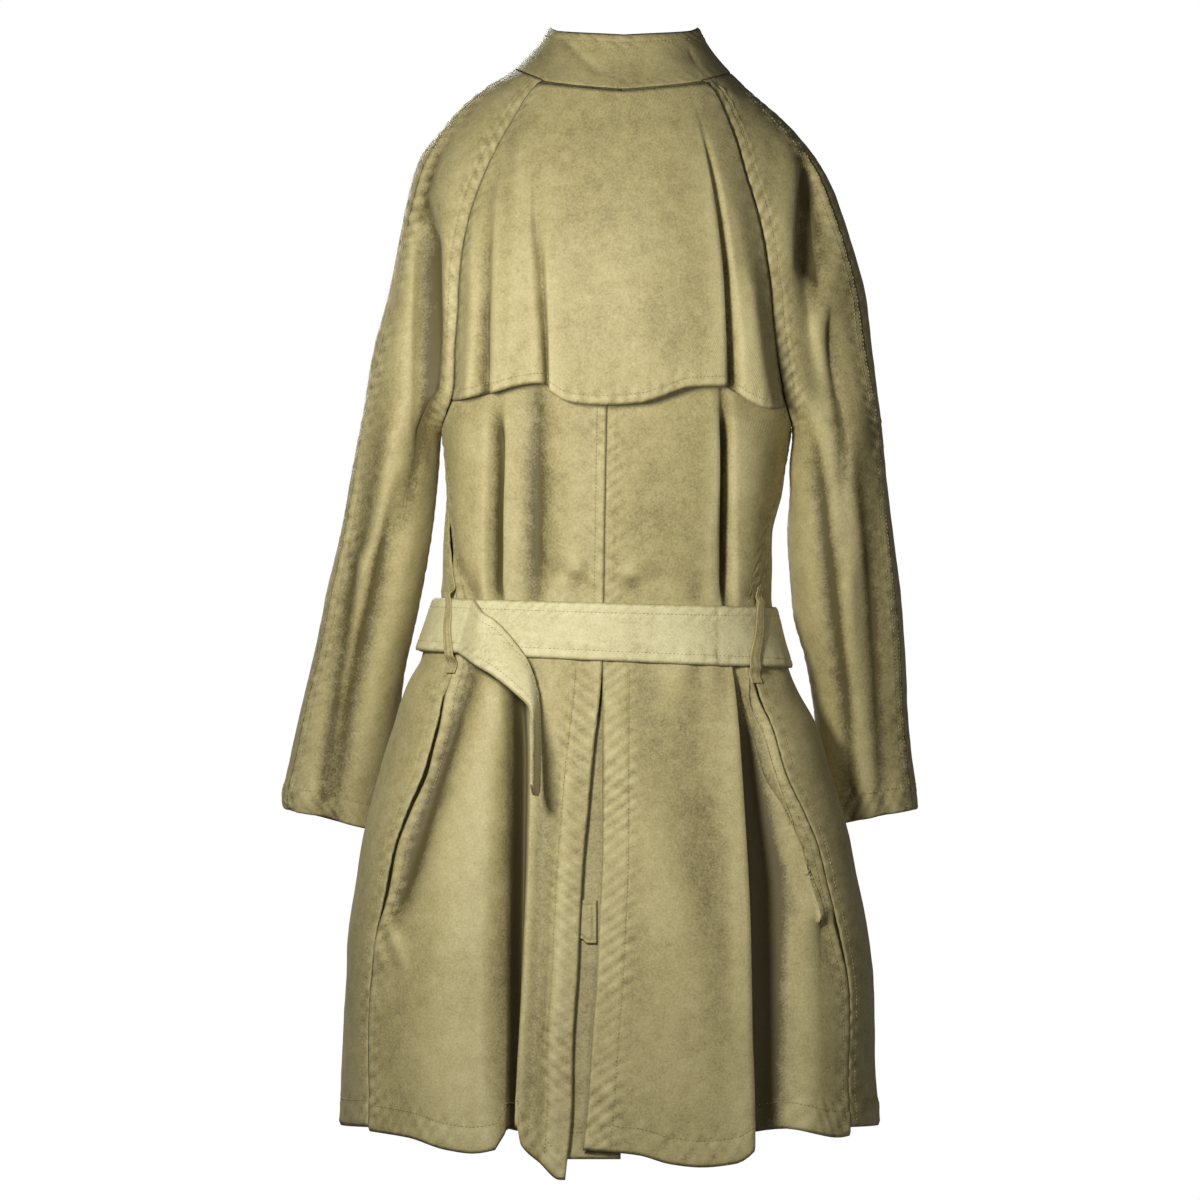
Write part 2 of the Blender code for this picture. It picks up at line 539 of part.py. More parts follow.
# The belt: once round from the buckle over the wearer's left side, then on through the left loop.
def belt_edges(angle):
    angle = np.asarray(angle, float)
    wrapped = (angle + 180) % 360 - 180
    x = body_base(wrapped, -487.0 + 0 * angle)[..., 0]
    return wrapped, -460.5 + 0.027 * x, -460.5 - BELT_DROP + 0.047 * x


def belt():
    # From the front middle (180) leftwards and down to -180, then a second time as far as the left loop.
    first = np.concatenate([[177.5, 172, 166], np.linspace(158, 110, 5), np.linspace(99, -99, 21),
                            np.linspace(-110, -160, 5)])
    ramp = np.array([-167.5, -171, -175.5, -178.5, -181.5, -184.5, -189, -192.5])
    ramp_lift = np.array([6.2, 7.4, 12.6, 15.4, 15.4, 12.6, 9.8, 9.8])
    second = np.concatenate([np.linspace(-200, -250, 5), np.linspace(-261, -294, 4), [-300, -306, -311]])
    angles = np.concatenate([first, ramp, second])
    lift = np.concatenate([np.full(len(first), 3.8), ramp_lift, np.full(len(second), 7.4)])
    lift[:4] = (6.2, 6.2, 6.0, 4.8)
    lift[len(first) + len(ramp):len(first) + len(ramp) + 2] = (9.0, 7.8)
    wrapped, high, low = belt_edges(angles)
    top = body_base(wrapped, high) + base_facing(wrapped, high) * lift[:, None]
    bottom = body_base(wrapped, low) + base_facing(wrapped, low) * lift[:, None]
    top = np.concatenate([top, BELT_END[:, 0:3]])
    bottom = np.concatenate([bottom, BELT_END[:, 3:6]])
    tip = (top[-1] + bottom[-1]) / 2 + np.array([0, 0, -9])
    swing = (bottom[-1] - top[-1]) / 2
    top = np.concatenate([top, [tip - 0.35 * swing]])
    bottom = np.concatenate([bottom, [tip + 0.35 * swing]])
    outer = np.stack([top, (top + bottom) / 2, bottom])
    run = np.gradient((top + bottom) / 2, axis=0)
    normal = np.cross(top - bottom, run)
    normal /= np.linalg.norm(normal, axis=-1, keepdims=True)
    middle = (top + bottom) / 2
    if (normal[10] * np.array([middle[10, 0], middle[10, 1], 0])).sum() < 0:
        normal = -normal
    solid("belt", outer, outer - BELT_WALL * normal[None], BELTING)


belt()


# The belt loops: a strip over the belt on each side seam, sewn down above and below it.
def belt_loop(name, side, width, heights, clear):
    z = np.array(heights, float)[:, None] * np.ones(3)
    lift = np.array([0, 0, 1, 1, 1, 1, 0, 0], float)[:, None] * clear + LOOP_WALL + 0.9
    angle = side * seam_angle(z, False)
    spread = width / 2 / 150 * 180 / np.pi
    angle = angle + np.array([-spread, 0, spread]) * side
    outer = body_base(angle, z) + base_facing(angle, z) * lift[..., None]
    solid(name, outer, outer - LOOP_WALL * base_facing(angle, z), TWILL)


belt_loop("belt_loop_left", 1, 12.0, (-438, -446, -454, -468, -496, -509, -516, -524), 8.1)
belt_loop("belt_loop_right", -1, 15.0, (-446, -454, -462, -476, -505, -519, -526, -533), 4.6)


# The slide buckle: a frame with a middle bar, one plate with two windows.
def plate(name, x_breaks, z_breaks, holes, y_front, thick, material):
    x_breaks, z_breaks = np.array(x_breaks, float), np.array(z_breaks, float)
    wide, tall = len(x_breaks), len(z_breaks)
    points = [(x, y_front + d * thick, z) for d in (0, 1) for z in z_breaks for x in x_breaks]
    filled = {(i, j) for i in range(wide - 1) for j in range(tall - 1)} - set(holes)
    faces = []
    for i, j in sorted(filled):
        a = j * wide + i
        ring = [a, a + 1, a + 1 + wide, a + wide]
        faces.append(tuple(ring))
        faces.append(tuple(k + wide * tall for k in ring[::-1]))
        sides = (((i, j - 1), 0, 1), ((i + 1, j), 1, 2), ((i, j + 1), 2, 3), ((i - 1, j), 3, 0))
        for neighbour, start, end in sides:
            if neighbour not in filled:
                b, d = ring[start], ring[end]
                faces.append((d, b, b + wide * tall, d + wide * tall))
    mesh = bpy.data.meshes.new(name)
    mesh.from_pydata([tuple(np.array(p) * MM) for p in points], [], faces)
    mesh.materials.append(material)
    made = bpy.data.objects.new(name, mesh)
    bpy.context.scene.collection.objects.link(made)


plate("buckle", (-31, -27, -2, 2, 27, 31), (-518.5, -514.5, -458.5, -454.5), {(1, 1), (3, 1)},
      -127.6, BUCKLE_THICK, HORN)

# Buttons on the middle front, each turned to face out of the cloth under it.
for number, height in enumerate(BUTTON_HEIGHTS, 1):
    place = np.array(180.0)
    z = np.array(float(height))
    angle = across(np.array(0.0), z, front=True)
    angle = np.where(angle == 0, 180.0, angle)
    normal = base_facing(angle, z)
    seat = body_base(angle, z) + normal * (LAP_LIFT + 0.45)
    sideways = np.cross(normal, [0, 0, 1.0])
    sideways /= np.linalg.norm(sideways)
    upward = np.cross(sideways, normal)
    turn = np.radians(np.arange(14) * 360 / 14)
    disc = sideways * np.cos(turn)[:, None] + upward * np.sin(turn)[:, None]
    rim = seat + disc * BUTTON_RADIUS
    ring = seat + disc * (BUTTON_RADIUS - 1.2) + normal * BUTTON_THICK
    waist = seat + disc * BUTTON_RADIUS + normal * (BUTTON_THICK - 1.2)
    points = np.concatenate([rim, waist, ring])
    faces = [tuple(range(13, -1, -1)), tuple(range(28, 42))]
    for level in range(2):
        for k in range(14):
            a, b = level * 14 + k, level * 14 + (k + 1) % 14
            faces.append((a, b, b + 14, a + 14))
    mesh = bpy.data.meshes.new(f"button_{number}")
    mesh.from_pydata([tuple(p * MM) for p in points], [], faces)
    corners = np.array([f[:3] for f in faces])
    if np.linalg.det(points[corners] - seat).sum() < 0:
        mesh.flip_normals()
    mesh.materials.append(HORN)
    button = bpy.data.objects.new(f"button_{number}", mesh)
    bpy.context.scene.collection.objects.link(button)
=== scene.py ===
"""Finish of a khaki cotton trench coat: cloth panels, seams, stitching and trims over its solids.

Sizes in the tables are millimetres. Z is up, the wearer's front faces -Y, the wearer's left is +X.
"""

import bpy
import numpy as np
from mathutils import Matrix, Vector, noise


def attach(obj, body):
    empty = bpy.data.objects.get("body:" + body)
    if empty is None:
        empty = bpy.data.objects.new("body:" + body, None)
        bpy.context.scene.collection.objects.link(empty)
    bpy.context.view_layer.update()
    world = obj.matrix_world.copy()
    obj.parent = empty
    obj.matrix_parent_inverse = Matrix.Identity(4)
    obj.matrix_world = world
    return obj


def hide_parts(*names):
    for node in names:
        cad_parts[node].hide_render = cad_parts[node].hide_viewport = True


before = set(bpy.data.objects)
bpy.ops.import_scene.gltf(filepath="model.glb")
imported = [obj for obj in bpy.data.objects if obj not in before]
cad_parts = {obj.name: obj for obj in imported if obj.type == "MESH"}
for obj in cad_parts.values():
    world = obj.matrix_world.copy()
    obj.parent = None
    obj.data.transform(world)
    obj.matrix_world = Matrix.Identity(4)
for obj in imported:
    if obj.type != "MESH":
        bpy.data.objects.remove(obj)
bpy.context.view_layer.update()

# Two back panels: washed cotton twill, garment dyed, cut with a middle seam that opens into a vent.
# Each is sewn to its front at the side seam and to a sleeve at the raglan seam; the hem is turned 26 mm.
MM = 0.001
CLOTH = 1.6  # wall of a body panel
PANEL_WALL = 1.2  # wall of a drawn panel
DOUBLE_WALL = 2.0  # of the collar and the belt, which are doubled
SEAM_GAP = 0.3
ARMPIT = -308.0
BACK_POWER = 0.87

# Rings of the body: height, centre across, half width, depth of the widest place, back, front.
BODY = np.array([
    (20, -16, 98, -15, 60, -93), (9, -16, 101, -15, 63, -94), (0, -16, 107, -14, 67, -95),
    (-15, -15, 115, -13, 74, -98), (-47, -12, 135, -12, 86, -105), (-76, -9, 148, -10, 94, -112),
    (-113, -8, 160, -8, 102, -122), (-148, -8, 166, -6, 107, -130), (-189, -9, 170, -4, 110, -137),
    (-230, -9.5, 169, -2, 110, -141), (-272, -12, 165, 0, 107, -141), (-308, -11, 157, 0, 103, -138),
    (-362, -8.5, 151, 0, 97, -130), (-400, -3, 148, 0, 93, -123), (-456, -1.5, 148.5, 0, 88, -115),
    (-487, 0.3, 157.3, 2.5, 91, -115.2), (-515, 2, 166, 5, 94, -115.5), (-539, 3, 177, 7, 101, -121),
    (-575, 0, 192, 10, 110, -131), (-611, 0, 202.5, 12, 118, -138), (-668, -1, 218, 15, 130, -148),
    (-713, -2, 226, 14, 138, -154), (-760, -3, 234, 12, 146, -159), (-803, -4.5, 237.5, 9, 152, -163),
    (-871, -3, 240, 5, 161, -168), (-930, -4, 243, 2, 168, -172), (-980, -4, 245, 0, 173, -175),
])
FRONT_POWER = np.array([(20, 1.0), (-456, 1.0), (-575, 1.1), (-980, 1.06)])
# Where the raglan and side seams lie: height, share of the half width on the back, on the front.
RAGLAN = np.array([
    (20, 0.70, 0.72), (9, 0.72, 0.74), (-15, 0.783, 0.77), (-47, 0.785, 0.78), (-76, 0.79, 0.785),
    (-113, 0.806, 0.80), (-148, 0.819, 0.81), (-189, 0.824, 0.815), (-230, 0.849, 0.84),
    (-272, 0.894, 0.885), (-291, 0.955, 0.95), (-308, 1.0, 1.0),
])
SIDE_SEAM = np.array([
    (-308, 1.0), (-340, 0.995), (-400, 0.97), (-456, 0.91), (-487, 0.86), (-519, 0.80), (-562, 0.79),
    (-607, 0.80), (-651, 0.84), (-682, 0.865), (-726, 0.88), (-768, 0.895), (-820, 0.905), (-903, 0.89),
    (-980, 0.885),
])
# Folds down the back: height, inner lip, bottom, outer lip (places across), depth.
FOLD_LEFT = np.array([
    (20, 22, 30, 38, 0), (-60, 50, 60, 70, 0), (-200, 80, 92, 104, 0), (-283, 88, 97, 110, 2),
    (-320, 89, 97, 109, 8), (-400, 91, 99, 110, 12), (-440, 91, 99, 110, 11), (-461, 88, 96, 108, 3.5),
    (-513, 76, 88, 100, 3.5), (-540, 68, 78, 94, 10), (-600, 67, 77, 90, 18), (-700, 69, 79, 91, 24),
    (-800, 74, 83, 92, 28), (-930, 80, 85, 92, 30), (-980, 80, 85, 92, 30),
])
FOLD_RIGHT = np.array([
    (20, -50, -56, -62, 0), (-60, -70, -80, -90, 0), (-200, -94, -101, -112, 0),
    (-283, -101, -106, -116, 3), (-320, -102, -107, -118, 10), (-400, -102, -107, -118, 12),
    (-440, -102, -107, -118, 9), (-461, -104, -110, -120, 3), (-513, -112, -118, -130, 3.5),
    (-540, -116, -120, -131, 6), (-575, -119, -125, -144, 11), (-605, -121, -128, -153, 15),
    (-634, -123, -130, -162, 18), (-700, -127, -134, -184, 23), (-741, -129, -137, -196, 24),
    (-800, -130, -140, -192, 24), (-930, -133, -143, -188, 26), (-980, -133, -143, -188, 26),
])
# Middle line of the back: height, seam; below the vent top, the edge of the left and of the right panel.
BACK_EDGES = np.array([
    (20, -15, -15), (0, -15, -15), (-283, -2, -2), (-456, 1, 1), (-518, 2.5, 2.2), (-602, 11, 2.6),
    (-649, 15, 2.6), (-692, 19, 3), (-726, 21, 4.5), (-773, 24, 7), (-804, 26, 9), (-866, 29, 14),
    (-940, 36, 21), (-980, 40, 25),
])
HEM_LEFT = np.array([
    (34, -975), (40, -975), (58, -960), (75, -944), (79, -928), (90, -928), (94, -942), (100, -949),
    (118, -952), (141, -949), (173, -939), (200, -935), (245, -930),
])
HEM_RIGHT = np.array([
    (-247, -928), (-209, -939), (-188, -935), (-167, -929), (-140, -932), (-133, -950), (-116, -961),
    (-86, -964), (-58, -961), (-30, -953), (-2, -950), (30, -948),
])
# Soft folds of the fronts: height, depth.
FRONT_WAVES = np.array([(20, 0), (-120, 0), (-300, 4), (-430, 3), (-461, 0), (-513, 0), (-600, 6),
                        (-760, 12), (-980, 18)])


def along(table, place, column=1):
    """A smooth line through one column of a table that is keyed by its first column."""
    keys, values = table[:, 0], table[:, column]
    order = np.argsort(keys)
    keys, values = keys[order], values[order]
    steps = np.diff(keys)
    slopes = np.diff(values) / steps
    tangents = np.concatenate([slopes[:1], np.zeros(len(keys) - 2), slopes[-1:]])
    turns = slopes[:-1] * slopes[1:] > 0
    safe = np.where(turns, slopes[:-1] + slopes[1:], 1.0)
    tangents[1:-1] = np.where(turns, 2 * slopes[:-1] * slopes[1:] / safe, 0.0)
    place = np.clip(np.asarray(place, float), keys[0], keys[-1])
    i = np.clip(np.searchsorted(keys, place) - 1, 0, len(keys) - 2)
    t = (place - keys[i]) / steps[i]
    return (
        values[i] * (2 * t**3 - 3 * t**2 + 1)
        + values[i + 1] * (3 * t**2 - 2 * t**3)
        + tangents[i] * steps[i] * (t**3 - 2 * t**2 + t)
        + tangents[i + 1] * steps[i] * (t**3 - t**2)
    )


def ease(t):
    t = np.clip(t, 0, 1)
    return t * t * (3 - 2 * t)


def hump(t):
    """A bell of height 1."""
    return np.exp(-(t**2))


def trough(x, inner, bottom, outer):
    """0 at both lips and 1 at the bottom, whichever way across the lips run."""
    rise = ease((x - inner) / (bottom - inner))
    fall = ease((outer - x) / (outer - bottom))
    return rise * fall


def body_base(angle, z):
    """The plain body ring: angle 0 is the middle of the back, 90 the wearer's left, 180 the front."""
    turn = np.radians(angle)
    s, c = np.sin(turn), np.cos(turn)
    power = np.where(c >= 0, BACK_POWER, along(FRONT_POWER, z))
    middle, depth = along(BODY, z, 1), along(BODY, z, 3)
    x = middle + along(BODY, z, 2) * np.sign(s) * np.abs(s) ** power
    reach = np.where(c >= 0, along(BODY, z, 4) - depth, depth - along(BODY, z, 5))
    y = depth + reach * np.sign(c) * np.abs(c) ** power
    return np.stack(np.broadcast_arrays(x, y, z), -1)


def across(x, z, front=False):
    """The angle at which the body ring of height z passes x."""
    share = np.clip((x - along(BODY, z, 1)) / along(BODY, z, 2), -1, 1)
    power = along(FRONT_POWER, z) if front else BACK_POWER
    angle = np.degrees(np.arcsin(np.abs(share) ** (1 / power)))
    return np.sign(share) * np.where(front, 180 - angle, angle)


def facing(surface, u, v, du, dv):
    """The outward direction of a surface of two numbers."""
    across_u = surface(u + du, v) - surface(u - du, v)
    across_v = surface(u, v + dv) - surface(u, v - dv)
    normal = np.cross(across_v, across_u)
    return normal / np.linalg.norm(normal, axis=-1, keepdims=True)


def base_facing(angle, z):
    return facing(body_base, angle, z, 0.5, 2.0)


def folds(angle, z):
    """How far the cloth lies inside the plain ring."""
    x = body_base(angle, z)[..., 0]
    back = np.abs(angle) < 90
    left = along(FOLD_LEFT, z, 4) * trough(
        x, along(FOLD_LEFT, z, 1), along(FOLD_LEFT, z, 2), along(FOLD_LEFT, z, 3))
    right = along(FOLD_RIGHT, z, 4) * trough(
        x, along(FOLD_RIGHT, z, 1), along(FOLD_RIGHT, z, 2), along(FOLD_RIGHT, z, 3))
    share = np.clip((np.abs(angle) - 92) / 70, 0, 1)
    waves = along(FRONT_WAVES, z) * np.sin(share * np.pi * 2) ** 2
    return np.where(back, left + right, waves)


def body(angle, z):
    angle, z = np.broadcast_arrays(np.asarray(angle, float), np.asarray(z, float))
    return body_base(angle, z) - base_facing(angle, z) * folds(angle, z)[..., None]


def seam_angle(z, front):
    """The angle, 0 to 180, of the raglan seam or, under the arm, of the side seam."""
    power = 1 / BACK_POWER
    raglan = RAGLAN.copy()
    raglan[:, 1] = np.degrees(np.arcsin(raglan[:, 1] ** power))
    raglan[:, 2] = 180 - np.degrees(np.arcsin(raglan[:, 2]))
    side = SIDE_SEAM.copy()
    side[:, 1] = np.degrees(np.arcsin(side[:, 1] ** power))
    return np.where(z > ARMPIT, along(raglan, z, 2 if front else 1), along(side, z))


def seam_inset(z):
    """Half the seam's gap as an angle, more where the armhole runs aslant."""
    return 0.14 + 0.2 * ease((-245 - z) / 30) * ease((z - ARMPIT + 2) / 4)


def neck_z(angle):
    table = np.array([(0, 0), (48, 9), (90, 20), (132, -5), (180, -45)], float)
    return along(table, np.abs(angle))


def between(*parts):
    """Places with even steps inside each pair of landmarks: (landmark, steps, landmark, steps, landmark)."""
    columns = [parts[0]]
    for start, steps, end in zip(parts[:-2:2], parts[1:-1:2], parts[2::2]):
        columns += [start + (end - start) * k / steps for k in range(1, steps + 1)]
    return np.stack(columns, -1)


def ripple(run, distance, seed=0.0):
    """The uneven diagonal puckers of a seam that shrank on its thread, about 12 mm apart."""
    near = np.sin(run / 1.9 + 1.3 * np.sin(run / 17 + seed) + distance * 0.35 + seed)
    far = np.sin(run / 3.3 + 2.1 * np.sin(run / 31 + 2 * seed) - distance * 0.2 + 3 * seed)
    swell = 0.75 + 0.25 * np.sin(run / 23 + seed)
    return (0.62 * near + 0.38 * far) * swell


def band(distance, run, width=10.5, ridge=0.6, groove=0.7, pucker=0.8, seed=0.0, seam_dark=0.9):
    """A turned and topstitched strip beside an edge: its rise and its tone, 0 being plain cloth."""
    inside = ease(1 - (distance - width) / 3)
    past = np.maximum(distance - width, 0)
    wave = ripple(run, distance, seed) * hump(past / 6) * ease(distance / 2.5)
    stitch = hump((distance - width + 1.5) / 1.3)
    seam = hump(distance / 1.2)
    rise = ridge * inside * ease(distance / 2) - groove * stitch - 0.5 * seam_dark * seam + pucker * wave
    # The tone paints light and shade on the puckers, paler on their crests and darker in their hollows, and painted
    # shade down the stitch groove; the seam line is darker and the turned strip paler.
    tone = 0.38 * wave - 0.22 * stitch - seam_dark * seam + 0.12 * inside
    return rise, tone


def crumple(points, size, seed=0.0):
    """Smooth uneven creasing, -1 to 1, with features about that many millimetres apart."""
    flat = points.reshape(-1, 3) / size + seed
    return np.array([noise.noise(p) for p in flat.tolist()]).reshape(points.shape[:-1])


def run_across(grid):
    """Distance along each row from its first column."""
    steps = np.linalg.norm(np.diff(grid, axis=1), axis=-1)
    return np.concatenate([np.zeros((grid.shape[0], 1)), np.cumsum(steps, 1)], 1)


def run_down(grid):
    return run_across(grid.swapaxes(0, 1)).T


def crease(place, z, path, power=2.0):
    """One fold: path rows are height, place, width below it, width above it, rise."""
    path = np.array(path, float)
    offset = place - along(path, z, 1)
    width = np.where(offset < 0, along(path, z, 2), along(path, z, 3))
    return along(path, z, 4) * np.exp(-np.abs(offset / width) ** power)


def laid(creases, place, z):
    return sum(crease(place, z, path, power) for power, path in creases)


def painted_relief_light(relief, spread=9):
    """Painted light and shade from the relief of a panel's grid: paler on what stands proud, darker in what is sunk.
    """
    weights = np.hanning(2 * spread + 3)
    weights /= weights.sum()
    edge = spread + 1
    smooth = np.stack([np.convolve(np.pad(row, edge, "edge"), weights, "valid") for row in relief])
    return np.clip(0.2 * (relief - smooth), -1.0, 0.35)


def shaded(creases, place, z):
    """Painted shade: deeper colour down the bottom of each fold, where no light falls."""
    sunk = sum(np.minimum(crease(place, z, path, power), 0) for power, path in creases)
    return np.clip(0.085 * sunk, -0.85, 0)


def placed(name, data):
    made = bpy.data.objects.new(name, data)
    bpy.context.scene.collection.objects.link(made)
    return made


def grid_normals(points, outward):
    normal = np.cross(np.gradient(points, axis=0), np.gradient(points, axis=1))
    normal /= np.maximum(np.linalg.norm(normal, axis=-1, keepdims=True), 1e-9)
    return normal * np.sign((normal * outward).sum())


def shell(name, points, normal, wall, tone, material):
    """A cloth panel with its wall, its tone per point, and a weave map in metres."""
    rows, columns = points.shape[:2]
    count = rows * columns
    places = np.concatenate([points.reshape(-1, 3), (points - wall * normal).reshape(-1, 3)]) * MM
    cell = np.arange(count).reshape(rows, columns)
    quad = np.stack([cell[:-1, :-1], cell[:-1, 1:], cell[1:, 1:], cell[1:, :-1]], -1).reshape(-1, 4)
    rim = np.concatenate([cell[0], cell[1:, -1], cell[-1, -2::-1], cell[-2:0:-1, 0]])
    step = np.roll(rim, -1)
    faces = np.concatenate([quad, quad[:, ::-1] + count, np.stack([step, rim, rim + count, step + count], -1)])
    corners = places[quad[:, :3]]
    facing_out = np.cross(corners[:, 1] - corners[:, 0], corners[:, 2] - corners[:, 0])
    if (facing_out * normal[:-1, :-1].reshape(-1, 3)).sum() < 0:
        faces = faces[:, ::-1]
    mesh = bpy.data.meshes.new(name)
    mesh.from_pydata(places.tolist(), [], faces.tolist())
    smooth = np.ones(len(faces), bool)
    smooth[2 * len(quad):] = False
    mesh.polygons.foreach_set("use_smooth", smooth)
    shade = mesh.attributes.new("tone", "FLOAT", "POINT")
    shade.data.foreach_set("value", np.tile(tone.reshape(-1), 2).astype(np.float32))
    weave = np.stack([run_across(points), -run_down(points)], -1).reshape(-1, 2) * MM
    weave = np.tile(weave, (2, 1)).astype(np.float32)
    corner = np.empty(len(mesh.loops), np.int32)
    mesh.loops.foreach_get("vertex_index", corner)
    mesh.uv_layers.new(name="Weave").data.foreach_set("uv", weave[corner].reshape(-1))
    mesh.materials.append(material)
    return placed(name, mesh)


def line_beside(points, normal, edge, distance, lift=0.15):
    """The line that far inside the edge "start", "end", "head" or "hem" of a panel's grid, and its normals."""
    if edge in ("head", "hem"):
        points, normal = points.swapaxes(0, 1), normal.swapaxes(0, 1)
    if edge in ("end", "hem"):
        points, normal = points[:, ::-1], normal[:, ::-1]
    run = run_across(points)
    line, up = [], []
    for k in range(len(points)):
        line.append([np.interp(distance, run[k], points[k, :, i]) for i in range(3)])
        up.append([np.interp(distance, run[k], normal[k, :, i]) for i in range(3)])
    line, up = np.array(line), np.array(up)
    return line + up * lift, up


def stitching(name, lines, material, pitch=3.6, length=2.7, radius=0.42):
    """Lockstitch threads laid along the lines: short rounded bars that sink at both ends."""
    points, faces, caps, start = [], [], [], 0
    turn = np.arange(5) * 2 * np.pi / 5
    for line, up in lines:
        run = run_across(line[None])[0]
        at = np.arange(pitch, run[-1] - pitch, pitch)
        if len(at) == 0:
            continue
        for k in range(3):
            up[:, k] = np.convolve(np.pad(up[:, k], 1, "edge"), [0.25, 0.5, 0.25], "valid")
        centre = np.stack([np.interp(at, run, line[:, k]) for k in range(3)], -1)
        ahead = np.stack([np.interp(at + 1, run, line[:, k]) for k in range(3)], -1) - centre
        ahead /= np.maximum(np.linalg.norm(ahead, axis=-1, keepdims=True), 1e-9)
        high = np.stack([np.interp(at, run, up[:, k]) for k in range(3)], -1)
        side = np.cross(ahead, high)
        side /= np.maximum(np.linalg.norm(side, axis=-1, keepdims=True), 1e-9)
        high = np.cross(side, ahead)
        for share, thick, sink in ((-0.5, 0.3, -0.35), (-0.2, 1.0, 0.0), (0.2, 1.0, 0.0), (0.5, 0.3, -0.35)):
            middle = centre + ahead * share * length + high * sink
            ring = side[:, None] * np.cos(turn)[:, None] + high[:, None] * np.sin(turn)[:, None]
            points.append((middle[:, None] + ring * radius * thick).reshape(-1, 3))
    for k in range(0, len(points), 4):
        bars = len(points[k]) // 5
        grid = start + np.arange(bars * 20).reshape(4, bars, 5)
        step = np.roll(grid, -1, 2)
        for r in range(3):
            faces.append(np.stack([grid[r], step[r], step[r + 1], grid[r + 1]], -1).reshape(-1, 4))
        caps += grid[0][:, ::-1].tolist() + grid[3].tolist()
        start += bars * 20
    mesh = bpy.data.meshes.new(name)
    mesh.from_pydata((np.concatenate(points) * MM).tolist(), [], np.concatenate(faces).tolist() + caps)
    mesh.polygons.foreach_set("use_smooth", np.ones(len(mesh.polygons), bool))
    mesh.materials.append(material)
    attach(placed(name, mesh), "root")


def fresh_material(name, rough):
    material = bpy.data.materials.new(name)
    material.use_nodes = True
    tree = material.node_tree
    shader = tree.nodes["Principled BSDF"]
    shader.inputs["Roughness"].default_value = rough
    return material, tree.nodes, tree.links, shader


def cloud(nodes, links, scale, detail, rough=0.5):
    place, made = nodes.new("ShaderNodeTexCoord"), nodes.new("ShaderNodeTexNoise")
    made.inputs["Scale"].default_value = scale
    made.inputs["Detail"].default_value = detail
    made.inputs["Roughness"].default_value = rough
    links.new(place.outputs["Object"], made.inputs["Vector"])
    return made.outputs["Fac"]


def sum_of(nodes, links, terms):
    """Adds up (source, weight, shift) terms."""
    total = None
    for source, weight, shift in terms:
        scaled = nodes.new("ShaderNodeMath")
        scaled.operation = "MULTIPLY_ADD"
        links.new(source, scaled.inputs[0])
        scaled.inputs[1].default_value = weight
        scaled.inputs[2].default_value = shift
        if total is None:
            total = scaled.outputs[0]
        else:
            added = nodes.new("ShaderNodeMath")
            links.new(total, added.inputs[0])
            links.new(scaled.outputs[0], added.inputs[1])
            total = added.outputs[0]
    return total


def coloured(nodes, links, level, shader, low, high, middle=None):
    """Base colour from a level: each end, and the middle if given, is a place and a colour."""
    ramp = nodes.new("ShaderNodeValToRGB")
    stops = ramp.color_ramp.elements
    for stop, (position, colour) in zip(stops, (low, high)):
        stop.position, stop.color = position, (*colour, 1)
    if middle:
        stops.new(middle[0]).color = (*middle[1], 1)
    links.new(level, ramp.inputs["Fac"])
    links.new(ramp.outputs["Color"], shader.inputs["Base Color"])


def twill(name, colour, dark, light, mottle=0.55):
    """Piece-dyed cotton twill: fine diagonal wales, cloudy dye, and the tone attribute, which carries painted shade
    and highlight (paler ridges, darker folds, puckers and stitch grooves) and the darker seam lines.
    """
    material, nodes, links, shader = fresh_material(name, 0.5)
    shader.inputs["Specular IOR Level"].default_value = 0.28
    shader.inputs["Sheen Weight"].default_value = 0.12
    shader.inputs["Sheen Roughness"].default_value = 0.45
    shader.inputs["Sheen Tint"].default_value = (0.9, 0.84, 0.66, 1)
    weave = nodes.new("ShaderNodeUVMap")
    weave.uv_map = "Weave"
    tone = nodes.new("ShaderNodeAttribute")
    tone.attribute_name = "tone"
    big, middle, fine = (cloud(nodes, links, *field) for field in ((14, 3, 0.6), (80, 4, 0.65), (480, 2, 0.6)))
    level = sum_of(nodes, links, [
        (big, 0.7 * mottle, 0.5 - 0.35 * mottle), (middle, 0.9 * mottle, -0.45 * mottle),
        (fine, 1.2 * mottle, -0.6 * mottle), (tone.outputs["Fac"], 0.45, 0.0)])
    coloured(nodes, links, level, shader, (0.0, dark), (1.0, light), (0.5, colour))
    wale = nodes.new("ShaderNodeTexWave")
    wale.bands_direction = "DIAGONAL"
    wale.inputs["Scale"].default_value = 480
    wale.inputs["Distortion"].default_value = 0.8
    wale.inputs["Detail"].default_value = 1.0
    links.new(weave.outputs["UV"], wale.inputs["Vector"])
    relief = sum_of(nodes, links, [(wale.outputs["Fac"], 0.5, 0), (fine, 0.9, 0), (middle, 1.6, 0)])
    bump = nodes.new("ShaderNodeBump")
    bump.inputs["Strength"].default_value = 0.45
    bump.inputs["Distance"].default_value = 0.0006
    links.new(relief, bump.inputs["Height"])
    links.new(bump.outputs["Normal"], shader.inputs["Normal"])
    return material


COTTON = twill("khaki_twill", (0.40, 0.337, 0.15), (0.115, 0.09, 0.032), (0.60, 0.525, 0.27))


def plain(name, colour, rough, coat=0.0):
    """Thread, resin or floor: one colour with a fine grain."""
    material, nodes, links, shader = fresh_material(name, rough)
    shader.inputs["Coat Weight"].default_value = coat
    grain = cloud(nodes, links, 260, 4)
    darker, paler = (0.55 * c for c in colour), (min(1.4 * c, 1) for c in colour)
    coloured(nodes, links, grain, shader, (0.32, darker), (0.7, paler))
    return material


def sewn(node, points, normal, tone, wall=PANEL_WALL, material=COTTON):
    """Draws a piece's cloth over its solid and hides the solid."""
    made = shell(node + "_cloth", points, normal, wall, tone, material)
    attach(made, "root")
    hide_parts(node)


THREAD = plain("khaki_thread", (0.36, 0.30, 0.15), 0.75)
